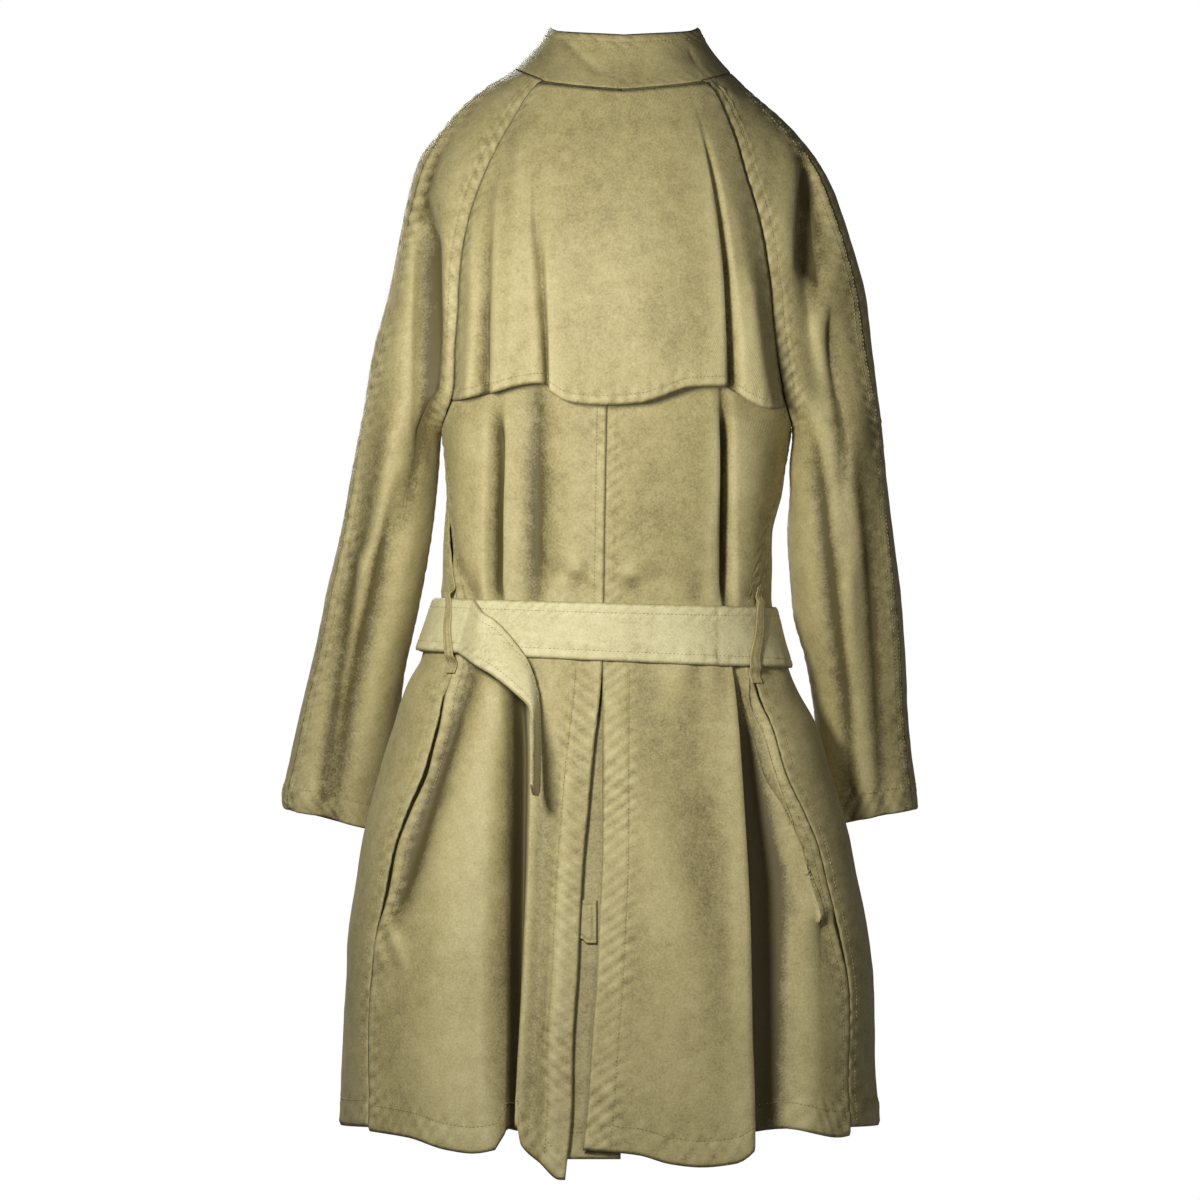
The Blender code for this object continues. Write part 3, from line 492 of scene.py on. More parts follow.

# Folds laid on the back: each is a power (1 sharp, 2 soft) and rows of
# height, place across, width towards the wearer's right, width towards the left, rise.
BACK_CREASES = (
    (1.3, ((-250, 60, 13, 9, 0), (-290, 61, 16, 14, -5), (-400, 62.5, 20, 15, -7.5), (-448, 63, 17, 14, -5),
           (-470, 62, 14, 9, 0))),
    (2.0, ((-285, 126, 14, 16, 0), (-330, 126, 14, 16, 2.5), (-420, 127, 14, 16, 2.5), (-455, 127, 14, 14, 0))),
    (1.6, ((-360, 150, 10, 10, 0), (-400, 143, 10, 10, -3.5), (-450, 122, 9, 9, -3), (-462, 118, 8, 8, 0))),
    (1.0, ((-262, -95, 3, 14, 0), (-300, -100, 3, 14, 1.5), (-332, -103, 3, 14, 1.6), (-405, -98, 3, 16, 1.6),
           (-460, -97, 3, 14, 0))),
    (2.0, ((-412, 26, 9, 9, 0), (-430, 26, 8, 9, 3.2), (-440, 24, 8, 8, -2.5), (-453, 24, 9, 9, 0))),
    (2.0, ((-416, -24, 10, 10, 0), (-434, -24, 10, 10, 3.2), (-445, -24, 10, 10, -2.5), (-456, -24, 10, 10, 0))),
    (2.0, ((-290, -132, 14, 16, 0), (-340, -134, 14, 16, 2), (-430, -126, 14, 14, 2.2), (-456, -124, 12, 12, 0))),
    (1.2, ((-515, 66, 14, 3.5, 0), (-548, 66, 16, 3.5, 2), (-773, 72, 18, 3.5, 2.5), (-940, 82, 14, 3, 1.5))),
    (1.2, ((-520, 96, 3.5, 14, 0), (-594, 91, 3.5, 16, 1.5), (-794, 92, 3.5, 18, 2), (-940, 92, 3, 14, 1.5))),
    (1.6, ((-513, 118, 10, 10, 0), (-530, 124, 12, 10, -6), (-643, 163, 18, 12, -10), (-707, 182, 16, 12, -8),
           (-765, 197, 12, 12, 0))),
    (2.0, ((-520, 108, 16, 22, 0), (-620, 122, 20, 26, 3), (-760, 140, 26, 30, 4), (-940, 150, 26, 30, 3))),
    (1.6, ((-738, 198, 7, 7, 0), (-755, 190, 7, 7, 3), (-775, 181, 7, 7, 2.6), (-800, 174, 7, 7, 0))),
    (1.6, ((-760, 205, 6, 6, 0), (-776, 200, 6, 6, 2.4), (-796, 192, 6, 6, 0))),
    (1.2, ((-516, -119, 3, 14, 0), (-545, -121, 3.5, 18, 1.5), (-694, -128, 3.5, 22, 2.5),
           (-940, -132, 3, 18, 2))),
    (2.0, ((-515, 8, 18, 18, 0), (-560, -5, 22, 22, 3), (-650, -30, 26, 26, 3.6), (-750, -60, 28, 28, 3),
           (-880, -80, 30, 30, 0))),
    (2.0, ((-530, -62, 18, 18, 0), (-600, -80, 22, 22, -1.5), (-700, -98, 22, 24, -1.5), (-860, -112, 22, 22, 0))),
    (1.5, ((-733, -204, 14, 8, 0), (-752, -198, 16, 10, -5), (-790, -196, 20, 14, -2.5), (-850, -196, 20, 14, 0))),
    (2.4, ((-524, 82, 8, 12, 0), (-570, 80, 10, 13, -7), (-700, 84, 11, 15, -12), (-800, 88, 11, 14, -12),
           (-900, 91, 8, 11, -10), (-940, 91, 6, 8, -8))),
    (2.0, ((-522, -126, 6, 8, 0), (-560, -134, 9, 9, -5), (-640, -147, 14, 13, -9), (-700, -157, 18, 17, -10),
           (-745, -160, 20, 20, -6), (-860, -160, 22, 22, -3), (-940, -160, 22, 22, -2))),
    (2.0, ((-560, 34, 10, 12, 0), (-660, 36, 12, 9, 2), (-820, 44, 12, 9, 2.4), (-940, 52, 12, 10, 1.5))),
    (2.0, ((-545, 56, 12, 10, 0), (-700, 58, 12, 10, -3), (-900, 66, 12, 10, -3.4), (-940, 68, 10, 8, -2))),
)


def waist_gathers(x, z, side):
    """Short folds where the belt draws the cloth in, longer under it than over it."""
    wave = np.sin(x / 5.4 + 1.4 * np.sin(x / 19 + side)) + 0.6 * np.sin(x / 9.7 + 2 + side)
    over = 0.8 * hump((z + 453) / 10)
    under = 1.1 * np.exp(-((np.maximum(-516 - z, 0) / 30) ** 1.3)) * ease((-505 - z) / 10)
    return wave * (over + under)


def kept_clear(rise, x, z, back):
    """Presses the cloth flat where the belt and, on the back, the storm flap lie on it."""
    belted = ease((z + 520 - 0.047 * x) / 7) * ease((-453 + 0.027 * x - z) / 7)
    rise = rise * (1 - belted) + np.minimum(rise, 0.3) * belted
    if back:
        covered = ease((z + 285) / 45)
        rise = rise * (1 - covered) + np.minimum(rise, -0.2) * covered
    return rise


stitch_lines = {"back": [], "front": []}
neck_edges = {}


def back_panel(side):
    rows = -np.linspace(-9, 930, 286)
    low = ease((-700 - rows) / 230)
    hem = HEM_LEFT if side > 0 else HEM_RIGHT
    table = FOLD_LEFT if side > 0 else FOLD_RIGHT
    edge = along(BACK_EDGES, rows, 1 if side > 0 else 2) + side * SEAM_GAP * 0.6
    inner, bottom, outer = (across(along(table, rows, k), rows) for k in (1, 2, 3))
    seam = side * (seam_angle(rows, False) - seam_inset(rows))
    near = side * np.minimum(side * across(edge + side * 27, rows), side * inner - 1)
    angles = between(across(edge, rows), 13, near, 20, inner, 7, bottom, 7, outer, 20, seam - side * 6.5,
                     8, seam)
    z = np.repeat(rows[:, None], angles.shape[1], 1)
    fade = ease(1 + (rows - 9) / 55)[:, None]
    z = z + fade * (neck_z(angles) - 9)
    x = body_base(angles, z)[..., 0]
    z = z + low[:, None] * (along(hem, x) + 930)
    base, out = body(angles, z), base_facing(angles, z)
    from_middle, down = run_across(base), run_down(base)
    from_side, from_hem = from_middle[:, -1:] - from_middle, down[-1:] - down
    deeper = folds(angles, z) * (0.75 - 0.4 * ease((-540 - z) / 80)) * ease((-280 - z) / 25)
    rise = 1.5 * laid(BACK_CREASES, x, z) - deeper
    rise = rise + 1.3 * waist_gathers(x, z, side)
    rise = rise + 0.8 * crumple(base, 46, side) + 0.3 * crumple(base, 15, 5 + side)
    open_edge = ease((-508 - z) / 12)
    width = 10.0 + 15.5 * open_edge
    worked = np.maximum(open_edge, side > 0)
    middle, middle_tone = band(from_middle, down, width, 0.35 * worked + 0.3 * open_edge,
                               0.4 * worked + 0.4 * open_edge, 0.22 + 0.75 * open_edge, seed=side,
                               seam_dark=0.35)
    sides, side_tone = band(from_side, down, 10.5, 0.35, 0.5, 0.8, seed=2.0 + side, seam_dark=0.3)
    below = ease((-290 - z) / 25)
    hems, hem_tone = band(from_hem, from_middle, 25.5, 0.55, 0.7, 0.45, seed=4.0 + side)
    rise = kept_clear(rise + middle + sides * (0.4 + 0.6 * below) + hems, x, z, True)
    rise[-1] -= 0.5
    # Painted shade and highlight in the tone: paler on what stands proud, darker in what is sunk and down the folds,
    # most in the folds above the belt and in the left panel's folds below it.
    tone = middle_tone + side_tone + hem_tone + 0.15 * crumple(base, 60, 9)
    sunk = folds(angles, z) * (0.06 * ease((z + 480) / 30) + (0.03 if side > 0 else 0.008) * ease((-520 - z) / 30))
    tone = tone + painted_relief_light(rise - folds(angles, z)) + shaded(BACK_CREASES, x, z) - np.minimum(sunk, 0.8)
    points = base + out * rise[..., None]
    normal = grid_normals(points, out)
    lines = stitch_lines["back"]
    start = int(np.argmax(rows < -262))
    vent = int(np.argmax(rows < -516))
    if side > 0:
        lines.append(line_beside(points[start:vent], normal[start:vent], "start", 8.8))
    lines.append(line_beside(points[vent:-3], normal[vent:-3], "start", 24.2))
    lines.append(line_beside(points[start:], normal[start:], "end", 9.2))
    lines.append(line_beside(points[:, 6:-1], normal[:, 6:-1], "hem", 24.2))
    return points, normal, tone


for node, side, area in (("back_left", 1, 0.18), ("back_right", -1, 0.19)):
    points, normal, tone = back_panel(side)
    neck_edges[node] = points[0]
    sewn(node, points, normal, tone)
stitching("back_stitching", stitch_lines["back"], THREAD)

# Two fronts: the same cotton, cut single breasted. The wearer's left laps over the right, is faced and
# topstitched along its edge and carries five worked buttonholes.
LAP = 24.0  # how far each front passes the middle
LAP_LIFT = 2.3
FRONT_CREASES = (
    (1.5, ((-300, 112, 12, 12, 0), (-360, 108, 12, 12, -3), (-450, 96, 10, 10, -2.5), (-470, 94, 9, 9, 0))),
    (1.5, ((-300, -108, 12, 12, 0), (-370, -104, 12, 12, -3), (-450, -90, 10, 10, -2.5), (-470, -88, 9, 9, 0))),
    (1.4, ((-512, 84, 9, 12, 0), (-560, 92, 12, 14, -4), (-700, 112, 16, 16, -5), (-980, 126, 18, 18, -6))),
    (1.4, ((-512, -88, 12, 9, 0), (-560, -96, 14, 12, -4), (-700, -118, 16, 16, -5), (-980, -134, 18, 18, -6))),
    (1.6, ((-513, 149, 7, 7, 0), (-527, 147, 7, 7, -4), (-545, 143, 6, 6, 0))),
    (1.5, ((-512, 52, 8, 8, 0), (-560, 56, 12, 12, -2.5), (-720, 66, 14, 14, -3), (-980, 72, 18, 18, -3))),
    (1.5, ((-512, -56, 8, 8, 0), (-570, -60, 12, 12, -2.5), (-740, -72, 14, 14, -3), (-980, -78, 18, 18, -3))),
    (2.0, ((-60, 70, 16, 16, 0), (-150, 84, 20, 16, 2), (-260, 110, 18, 16, 3), (-330, 120, 14, 12, 0))),
    (2.0, ((-60, -74, 16, 16, 0), (-150, -90, 16, 20, 2), (-260, -114, 16, 18, 3), (-330, -122, 12, 14, 0))),
)


def front_panel(side):
    rows = -np.linspace(5, 930, 236)
    edge = np.full(len(rows), -LAP if side > 0 else LAP)
    seam = side * (seam_angle(rows, True) + seam_inset(rows))
    lap = across(edge, rows, front=True)
    lap = np.where(side * lap < 0, side * 360 + lap, lap)
    turn = across(np.full(len(rows), 40.0 * side), rows, front=True)
    angles = between(seam, 7, seam + side * 6.5, 33, turn, 22, lap)
    z = np.repeat(rows[:, None], angles.shape[1], 1)
    fade = ease(1 + (rows + 5) / 90)[:, None]
    z = z + fade * (neck_z(np.where(np.abs(angles) > 180, 360 - np.abs(angles), angles)) + 5)
    low = ease((-700 - rows) / 230)[:, None]
    z = z - low * 8 * ease((np.abs(angles) - 100) / 80)
    base, out = body(angles, z), base_facing(angles, z)
    x = base[..., 0]
    lift = LAP_LIFT * ease((42 - x) / 16) * ease((np.abs(angles) - 120) / 20) if side > 0 else 0 * x
    from_side, down = run_across(base), run_down(base)
    from_edge, from_hem = from_side[:, -1:] - from_side, down[-1:] - down
    near_edge = ease((np.abs(x) - 20) / 24)
    rise = laid(FRONT_CREASES, x, z) * near_edge
    rise = rise + waist_gathers(x, z, 3 + side) * (0.25 + 0.75 * near_edge)
    rise = rise + (0.8 * crumple(base, 46, 20 + side) + 0.3 * crumple(base, 15, 25 + side)) * near_edge
    sides, side_tone = band(from_side, down, 10.5, 0.1, 0.3, 0.7, seed=6.0 + side, seam_dark=0.3)
    laps, lap_tone = band(from_edge, down, 9.0, 0.25, 0.4, 0.18, seed=8.0 + side)
    hems, hem_tone = band(from_hem, from_side, 25.5, 0.5, 0.7, 0.4, seed=11.0 + side)
    if side < 0:
        laps, rise = laps * 0, np.minimum(rise, 0.3 + 3 * near_edge)
    rise = kept_clear(rise + sides + laps + hems * near_edge, x, z, False)
    rise[-1] -= 0.5
    # Painted shade and highlight, weaker than on the back: paler on what stands proud, darker in what is sunk.
    tone = side_tone + lap_tone + hem_tone + 0.15 * crumple(base, 60, 29) + 0.4 * painted_relief_light(rise - folds(angles, z))
    points = base + out * (lift + rise)[..., None]
    normal = grid_normals(points, out)
    lines = stitch_lines["front"]
    if side > 0:
        lines.append(line_beside(points, normal, "end", 7.6))
    lines.append(line_beside(points[95:], normal[95:], "start", 9.2))
    lines.append(line_beside(points[:, 1:-1], normal[:, 1:-1], "hem", 24.2))
    return points, normal, tone


for node, side in (("front_left", 1), ("front_right", -1)):
    points, normal, tone = front_panel(side)
    neck_edges[node] = points[0]
    sewn(node, points, normal, tone)
stitching("front_stitching", stitch_lines["front"], THREAD)

# Two raglan sleeves: each a back and a front sewn together down the overarm, the seam double stitched,
# and caught in the raglan seam. The cuffs are plain, turned 25 mm and topstitched.
# Sleeves: height at the outside, place of the outside, half width, half depth, middle depth,
# angle of the back edge, angle of the front edge, height of the back edge, of the front edge.
SLEEVE_LEFT = np.array([
    (20, 82, 98, 78, -15, 46, -46, 9, -5), (-7, 121, 95, 79, -13, 50, -50, -15, -22),
    (-35, 148.5, 100, 80, -11, 53, -53, -47, -50), (-67, 169, 105, 81, -9, 56, -57, -76, -80),
    (-101, 179, 108, 81, -7, 58, -60, -113, -115), (-140, 187, 110, 80, -5, 61, -62, -150, -150),
    (-185, 196, 108, 80, -4, 65, -65, -190, -190), (-228, 207, 98, 79, -3, 72, -72, -230, -230),
    (-258, 213, 78, 76, -2, 88, -88, -262, -262), (-276, 216, 58, 73, -1, 112, -112, -280, -280),
    (-294, 219, 46, 71, -1, 142, -142, -296, -296),
    (-308, 221.5, 37.6, 70, 0, 180, -180, -308, -308), (-345, 228, 39, 69, -6, 180, -180, -350, -350),
    (-400, 239, 41, 67, -14, 180, -180, -408, -408), (-458, 252, 42, 62, -25, 180, -180, -468, -468),
    (-503, 261, 41, 58, -36, 180, -180, -516, -516), (-552, 274, 44, 53, -48, 180, -180, -568, -568),
    (-600, 284.5, 45, 49, -58, 180, -180, -618, -618), (-634, 292, 45.5, 47, -65, 180, -180, -654, -654),
    (-647, 290, 45, 46, -67, 180, -180, -668, -668),
])
SLEEVE_RIGHT = np.array([
    (16, 114, 98, 78, -15, 46, -46, 9, -5), (-10, 142, 96, 79, -13, 50, -50, -15, -22),
    (-42, 176, 103, 80, -11, 53, -53, -47, -50), (-76, 200, 108, 81, -9, 56, -57, -76, -80),
    (-108, 213, 112, 81, -7, 58, -60, -113, -115), (-144, 225, 112, 80, -5, 61, -62, -150, -150),
    (-187, 235.5, 110, 80, -4, 65, -65, -190, -190), (-228, 240.5, 100, 79, -3, 72, -72, -230, -230),
    (-258, 244, 79, 76, -2, 88, -88, -262, -262), (-276, 246, 60, 73, -1, 112, -112, -280, -280),
    (-294, 248, 48, 71, -1, 142, -142, -296, -296),
    (-308, 249.5, 40.6, 70, 0, 180, -180, -308, -308), (-345, 253.5, 43, 69, -6, 180, -180, -349, -349),
    (-400, 260, 48, 67, -14, 180, -180, -407, -407), (-458, 267, 49, 62, -25, 180, -180, -467, -467),
    (-503, 271, 45, 58, -36, 180, -180, -514, -514), (-552, 273, 42, 53, -48, 180, -180, -565, -565),
    (-600, 277, 41.5, 49, -58, 180, -180, -614, -614), (-634, 281, 41.5, 47, -65, 180, -180, -649, -649),
    (-647, 282, 41, 46, -67, 180, -180, -663, -663),
])
OVERARM = np.array([(20, 12), (-67, 16), (-266, 20), (-400, 26), (-647, 28)])
# One long soft fold down the back of each sleeve: height, place across, width, depth.
SLEEVE_FOLD_LEFT = np.array([(20, 120, 9, 0), (-90, 158, 9, 0), (-150, 163, 10, 7), (-290, 172, 10, 8),
                             (-400, 185, 12, 5), (-520, 215, 14, 4), (-647, 235, 14, 0)])
SLEEVE_FOLD_RIGHT = np.array([(20, 150, 9, 0), (-60, 182, 9, 2), (-110, 177, 9, 9), (-190, 180, 10, 9),
                              (-300, 200, 12, 6), (-450, 225, 14, 5), (-647, 240, 14, 0)])
SLEEVE_ROWS_OPEN = 12
# Folds laid on the sleeve backs: power, then rows of height, place out from the middle line,
# width on the inner side, width on the outer side, rise.
SLEEVE_CREASES = {
    1: (
        (2.0, ((-95, 164, 8, 4, 0), (-120, 160, 9, 7, -6), (-143, 158, 10, 10, -11), (-250, 158, 13, 11, -13),
               (-305, 162, 14, 9, -10), (-360, 172, 12, 9, -5), (-420, 184, 10, 9, 0))),
        (1.2, ((-110, 174, 3, 18, 0), (-160, 172, 3, 22, 3.5), (-260, 172, 3, 22, 4), (-330, 178, 6, 18, 0))),
        (1.3, ((-32, 138, 8, 6, 0), (-50, 150, 10, 5, -3.5), (-95, 166, 10, 5, -5), (-125, 169, 10, 5, 0))),
        (1.2, ((-92, 180, 7, 4, 0), (-101, 175, 6, 4, -2.5), (-112, 171, 6, 4, 0))),
        (1.6, ((-250, 196, 14, 12, 0), (-340, 212, 14, 12, -5), (-440, 232, 14, 11, -7), (-560, 248, 13, 10, -7),
               (-647, 256, 12, 10, -4))),
        (1.6, ((-340, 182, 8, 10, 0), (-420, 200, 10, 11, -7), (-540, 226, 11, 11, -7), (-647, 243, 10, 10, -3))),
        (1.6, ((-400, 226, 8, 8, 0), (-440, 220, 8, 8, 4), (-500, 230, 8, 8, 0))),
        (1.6, ((-300, 152, 9, 9, 0), (-330, 160, 9, 9, 3.5), (-380, 170, 9, 9, 0))),
        (2.0, ((-40, 118, 14, 14, 0), (-90, 136, 14, 14, 2.5), (-170, 142, 14, 12, 2.5), (-240, 140, 12, 10, 0))),
    ),
    -1: (
        (2.0, ((-50, 180, 10, 4, 0), (-66, 184, 10, 5, -5), (-100, 186, 12, 12, -12), (-143, 187, 14, 15, -13),
               (-185, 186, 10, 10, -5), (-215, 190, 8, 8, 0))),
        (1.0, ((-60, 178, 3, 12, 0), (-100, 171, 12, 3, 3), (-150, 169, 14, 3, 3.5), (-170, 174, 14, 4, 0))),
        (1.5, ((-160, 174, 11, 8, 0), (-175, 182, 13, 10, 5), (-215, 190, 15, 10, 5), (-260, 200, 12, 10, 0))),
        (1.1, ((-190, 204, 3, 14, 0), (-225, 201, 4, 14, -6), (-300, 208, 5, 18, -8), (-380, 216, 8, 14, 0))),
        (1.6, ((-300, 228, 10, 10, 0), (-410, 240, 13, 11, -7), (-520, 246, 13, 11, -7), (-647, 252, 10, 10, -4))),
        (1.6, ((-280, 178, 8, 10, 0), (-380, 194, 10, 11, -7), (-520, 212, 11, 11, -7), (-647, 222, 10, 10, -4))),
        (1.6, ((-400, 224, 9, 9, 0), (-450, 220, 9, 9, 4), (-540, 228, 9, 9, 0))),
        (1.6, ((-300, 160, 9, 9, 0), (-330, 166, 9, 9, 3.5), (-380, 176, 9, 9, 0))),
    ),
}


def sleeve(side, table, row, turn):
    """Row 0 is the neck and the last is the cuff; turn runs 1 at the back seam, 0 outside, -1 at the front."""
    knots = np.column_stack([np.arange(len(table)), table])
    high, out, wide, deep, middle = (along(knots, row, k) for k in (1, 2, 3, 4, 5))
    end = np.where(turn >= 0, along(knots, row, 6), -along(knots, row, 7))
    low = np.where(turn >= 0, along(knots, row, 8), along(knots, row, 9))
    angle = np.radians(end * turn)
    share = (1 - np.cos(angle)) / (1 - np.cos(np.radians(end)))
    x = side * (out - wide + wide * np.cos(angle))
    y = middle + deep * np.sin(angle)
    z = high + (low - high) * share
    open_row = row <= SLEEVE_ROWS_OPEN - 1
    seam_b, seam_f = seam_angle(low, False), seam_angle(low, True)
    target = body(side * np.where(turn >= 0, seam_b, seam_f), np.where(open_row, low, ARMPIT))
    end_x = side * (out - wide + wide * np.cos(np.radians(end)))
    end_y = middle + np.sign(turn) * deep * np.sin(np.radians(end))
    pull = np.where(open_row, share, 0)
    x = x + pull * (target[..., 0] - end_x)
    y = y + pull * (target[..., 1] - end_y)
    fold = SLEEVE_FOLD_LEFT if side > 0 else SLEEVE_FOLD_RIGHT
    dent = along(fold, z, 3) * hump((side * x - along(fold, z, 1)) / along(fold, z, 2))
    y = y - dent * np.clip(turn * 3, 0, 1) * np.clip((1 - np.abs(turn)) * 5, 0, 1)
    return np.stack([x, y, z], -1)


def sleeve_half(side, table, back, lines):
    count = len(table)
    row_line = np.interp(np.linspace(0, 1, 230), np.linspace(0, 1, count), np.arange(count))
    knots = np.column_stack([np.arange(count), table])
    end = along(knots, row_line, 6)
    start = along(OVERARM, along(knots, row_line, 1)) / end
    if back:
        turns = between(start + 0.002, 8, start + 14 / end, 32, np.full(len(end), 1 - 0.0016))
    else:
        turns = between(start - 0.002, 8, start - 14 / end, 32, np.full(len(end), -1 + 0.0016))
    row = np.repeat(row_line[:, None], turns.shape[1], 1)
    base = sleeve(side, table, row, turns)
    # The armhole's end would leave a kink across the sleeve: the rows there are drawn into one another.
    kink = hump((row - (SLEEVE_ROWS_OPEN - 1.3)) / 1.5)
    weights = np.hanning(31) / np.hanning(31).sum()
    blurred = np.stack([np.stack([np.convolve(np.pad(base[:, c, k], 15, "edge"), weights, "valid")
                                  for c in range(base.shape[1])], -1) for k in range(3)], -1)
    from_end = run_across(base)
    from_end = from_end[:, -1:] - from_end
    drawn = (kink * ease((from_end - 1) / 30))[..., None]
    base = base * (1 - drawn) + blurred * drawn
    middle = np.stack([side * (along(knots, row_line, 2) - along(knots, row_line, 3)),
                       along(knots, row_line, 5)], -1)[:, None]
    away = np.concatenate([base[..., :2] - middle, 0 * base[..., :1]], -1)
    out = grid_normals(base, away)
    from_overarm, down = run_across(base), run_down(base)
    from_raglan = from_overarm[:, -1:] - from_overarm
    from_cuff = down[-1:] - down
    x, z = side * base[..., 0], base[..., 2]
    inset = ease(from_overarm / 14) * ease(from_raglan / 16)
    facing_back = ease((base[..., 1] - middle[..., 1]) / 14)
    rise = 1.2 * laid(SLEEVE_CREASES[side], x, z) * inset
    rise = rise * (facing_back if back else 0.75 * ease((middle[..., 1] - base[..., 1]) / 14))
    rise = rise + inset * (1.3 * crumple(base * np.array([1, 1, 0.45]), 30, 40 + side + 2 * back)
                           + 0.35 * crumple(base, 14, 50 + side))
    over, over_tone = band(from_overarm, down, 11.0, 0.5 if back else 0.15, 0.6, 0.9, seed=12.0 + side)
    joined = ease((z - ARMPIT + 4) / 10)
    raglan, raglan_tone = band(from_raglan, down, 11.5, 0.55, 0.75, 1.1, seed=15.0 + side + back)
    plain_side, plain_tone = band(from_raglan, down, 5.0, 0.0, 0.0, 0.5, seed=17.0 + side)
    cuff, cuff_tone = band(from_cuff, from_overarm, 25.0, 0.45, 0.7, 0.35, seed=19.0 + side)
    held = raglan * joined + plain_side * (1 - joined)
    rise = rise + over + held + cuff
    covered = ease((z - 5) / 8)
    rise = rise * (1 - covered)
    rise[-1] -= 0.4
    tone = over_tone + raglan_tone * joined + plain_tone * (1 - joined) + cuff_tone
    # Painted shade and highlight: paler on what stands proud, darker in what is sunk, half as strong on the front,
    # and painted shade down the creases of the back.
    tone = tone + 0.15 * crumple(base, 60, 49) + painted_relief_light(rise) * (1.0 if back else 0.5)
    tone = tone + shaded(SLEEVE_CREASES[side], x, z) * facing_back
    points = base + out * rise[..., None]
    normal = grid_normals(points, away)
    last = int(np.argmax(row_line > SLEEVE_ROWS_OPEN - 1.6))
    lines.append(line_beside(points[6:last], normal[6:last], "end", 10.2))
    if back:
        lines.append(line_beside(points[6:], normal[6:], "start", 9.7))
        lines.append(line_beside(points[6:], normal[6:], "start", 3.2))
    lines.append(line_beside(points[:, :-1], normal[:, :-1], "hem", 23.7))
    return points, normal, tone


for side, word, table in ((1, "left", SLEEVE_LEFT), (-1, "right", SLEEVE_RIGHT)):
    lines = []
    for back in (True, False):
        node = f"sleeve_{word}_{'back' if back else 'front'}"
        points, normal, tone = sleeve_half(side, table, back, lines)
        neck_edges[node] = points[0]
        sewn(node, points, normal, tone)
    stitching(f"sleeve_{word}_stitching", lines, THREAD)

# The stand collar: two layers of the same cotton in one standing ring on the neck seam, turned at the
# top and topstitched 9 mm below it. It stands open, its ends meeting at the middle front.
TOP_COLLAR = (-17.0, -22.0, 67.0, 62.0)  # centre across, centre depth, half width, half depth
TOP_COLLAR_Z = np.array([(0, 50), (60, 54), (90, 58), (130, 38), (180, 5)])
COLLAR_CREASES = (
    (1.4, ((12, 6, 7, 6, 0), (22, 14, 7, 6, -3), (43, 36, 6, 5, -3), (52, 44, 6, 5, 0))),
    (1.6, ((12, 44, 6, 6, 0), (24, 41, 6, 6, -1.6), (38, 44, 6, 6, 0))),
    (1.2, ((18, -84, 4, 5, 0), (30, -80, 4, 5, -2.5), (42, -76, 4, 5, 0))),
    (1.6, ((2, -30, 10, 12, 0), (20, -34, 10, 12, -1.4), (46, -40, 10, 12, 0))),
)


def collar_grid():
    halves = []
    for side, word in ((1, "left"), (-1, "right")):
        front = neck_edges[f"front_{word}"]
        meet = 1.2 * side
        last = int(np.argmax(side * front[:, 0] < 1.2))
        share = (front[last - 1, 0] - meet) / (front[last - 1, 0] - front[last, 0])
        end = front[last - 1] + share * (front[last] - front[last - 1])
        halves.append(np.concatenate([
            neck_edges[f"back_{word}"][:-1], neck_edges[f"sleeve_{word}_back"][::-1][:-1],
            neck_edges[f"sleeve_{word}_front"][1:-1],
            [np.maximum(neck_edges[f"sleeve_{word}_front"][-1], front[0])], front[1:last], [end],
        ]))
    foot = np.concatenate([halves[1][::-1], halves[0][1:]])
    run = run_across(foot[None])[0]
    even = np.linspace(0, run[-1], 300)
    foot = np.stack([np.interp(even, run, foot[:, k]) for k in range(3)], -1)
    centre_x, centre_y, half_x, half_y = TOP_COLLAR
    bearing = np.arctan2(foot[:, 0] - centre_x, foot[:, 1] - centre_y)
    head = np.stack([centre_x + half_x * np.sin(bearing), centre_y + half_y * np.cos(bearing),
                     along(TOP_COLLAR_Z, np.abs(np.degrees(bearing)))], -1)
    up = (head - foot) / np.linalg.norm(head - foot, axis=-1, keepdims=True)
    foot = foot + up * 0.95
    steps = np.linspace(0, 1, 26)[:, None, None]
    base = head * (1 - steps) + foot * steps
    outward = np.stack([np.sin(bearing), np.cos(bearing), 0 * bearing], -1)
    base = base - outward * 2.5 * np.sin(np.pi * steps)
    out = np.broadcast_to(outward, base.shape)
    around, down = run_across(base), run_down(base)
    x, z = base[..., 0], base[..., 2]
    behind = ease((base[..., 1] - centre_y) / 20)
    top, top_tone = band(down, around, 10.3, 0.35, 0.6, 0.55, seed=21)
    low, low_tone = band(down[-1:] - down, around, 4.5, 0.0, 0.0, 0.35, seed=22)
    sink = ease(down / 6) * ease((down[-1:] - down) / 8)
    rise = laid(COLLAR_CREASES, x, z) * behind
    rise = (rise + 0.7 * crumple(base, 24, 60)) * sink + top + low
    points = base + out * rise[..., None]
    normal = grid_normals(points, out)
    return points, normal, top_tone + 0.6 * low_tone + 0.2 * crumple(base, 40, 63)


points, normal, tone = collar_grid()
sewn("collar", points, normal, tone, wall=DOUBLE_WALL)
stitching("collar_stitching", [line_beside(points, normal, "head", 8.8)], THREAD)

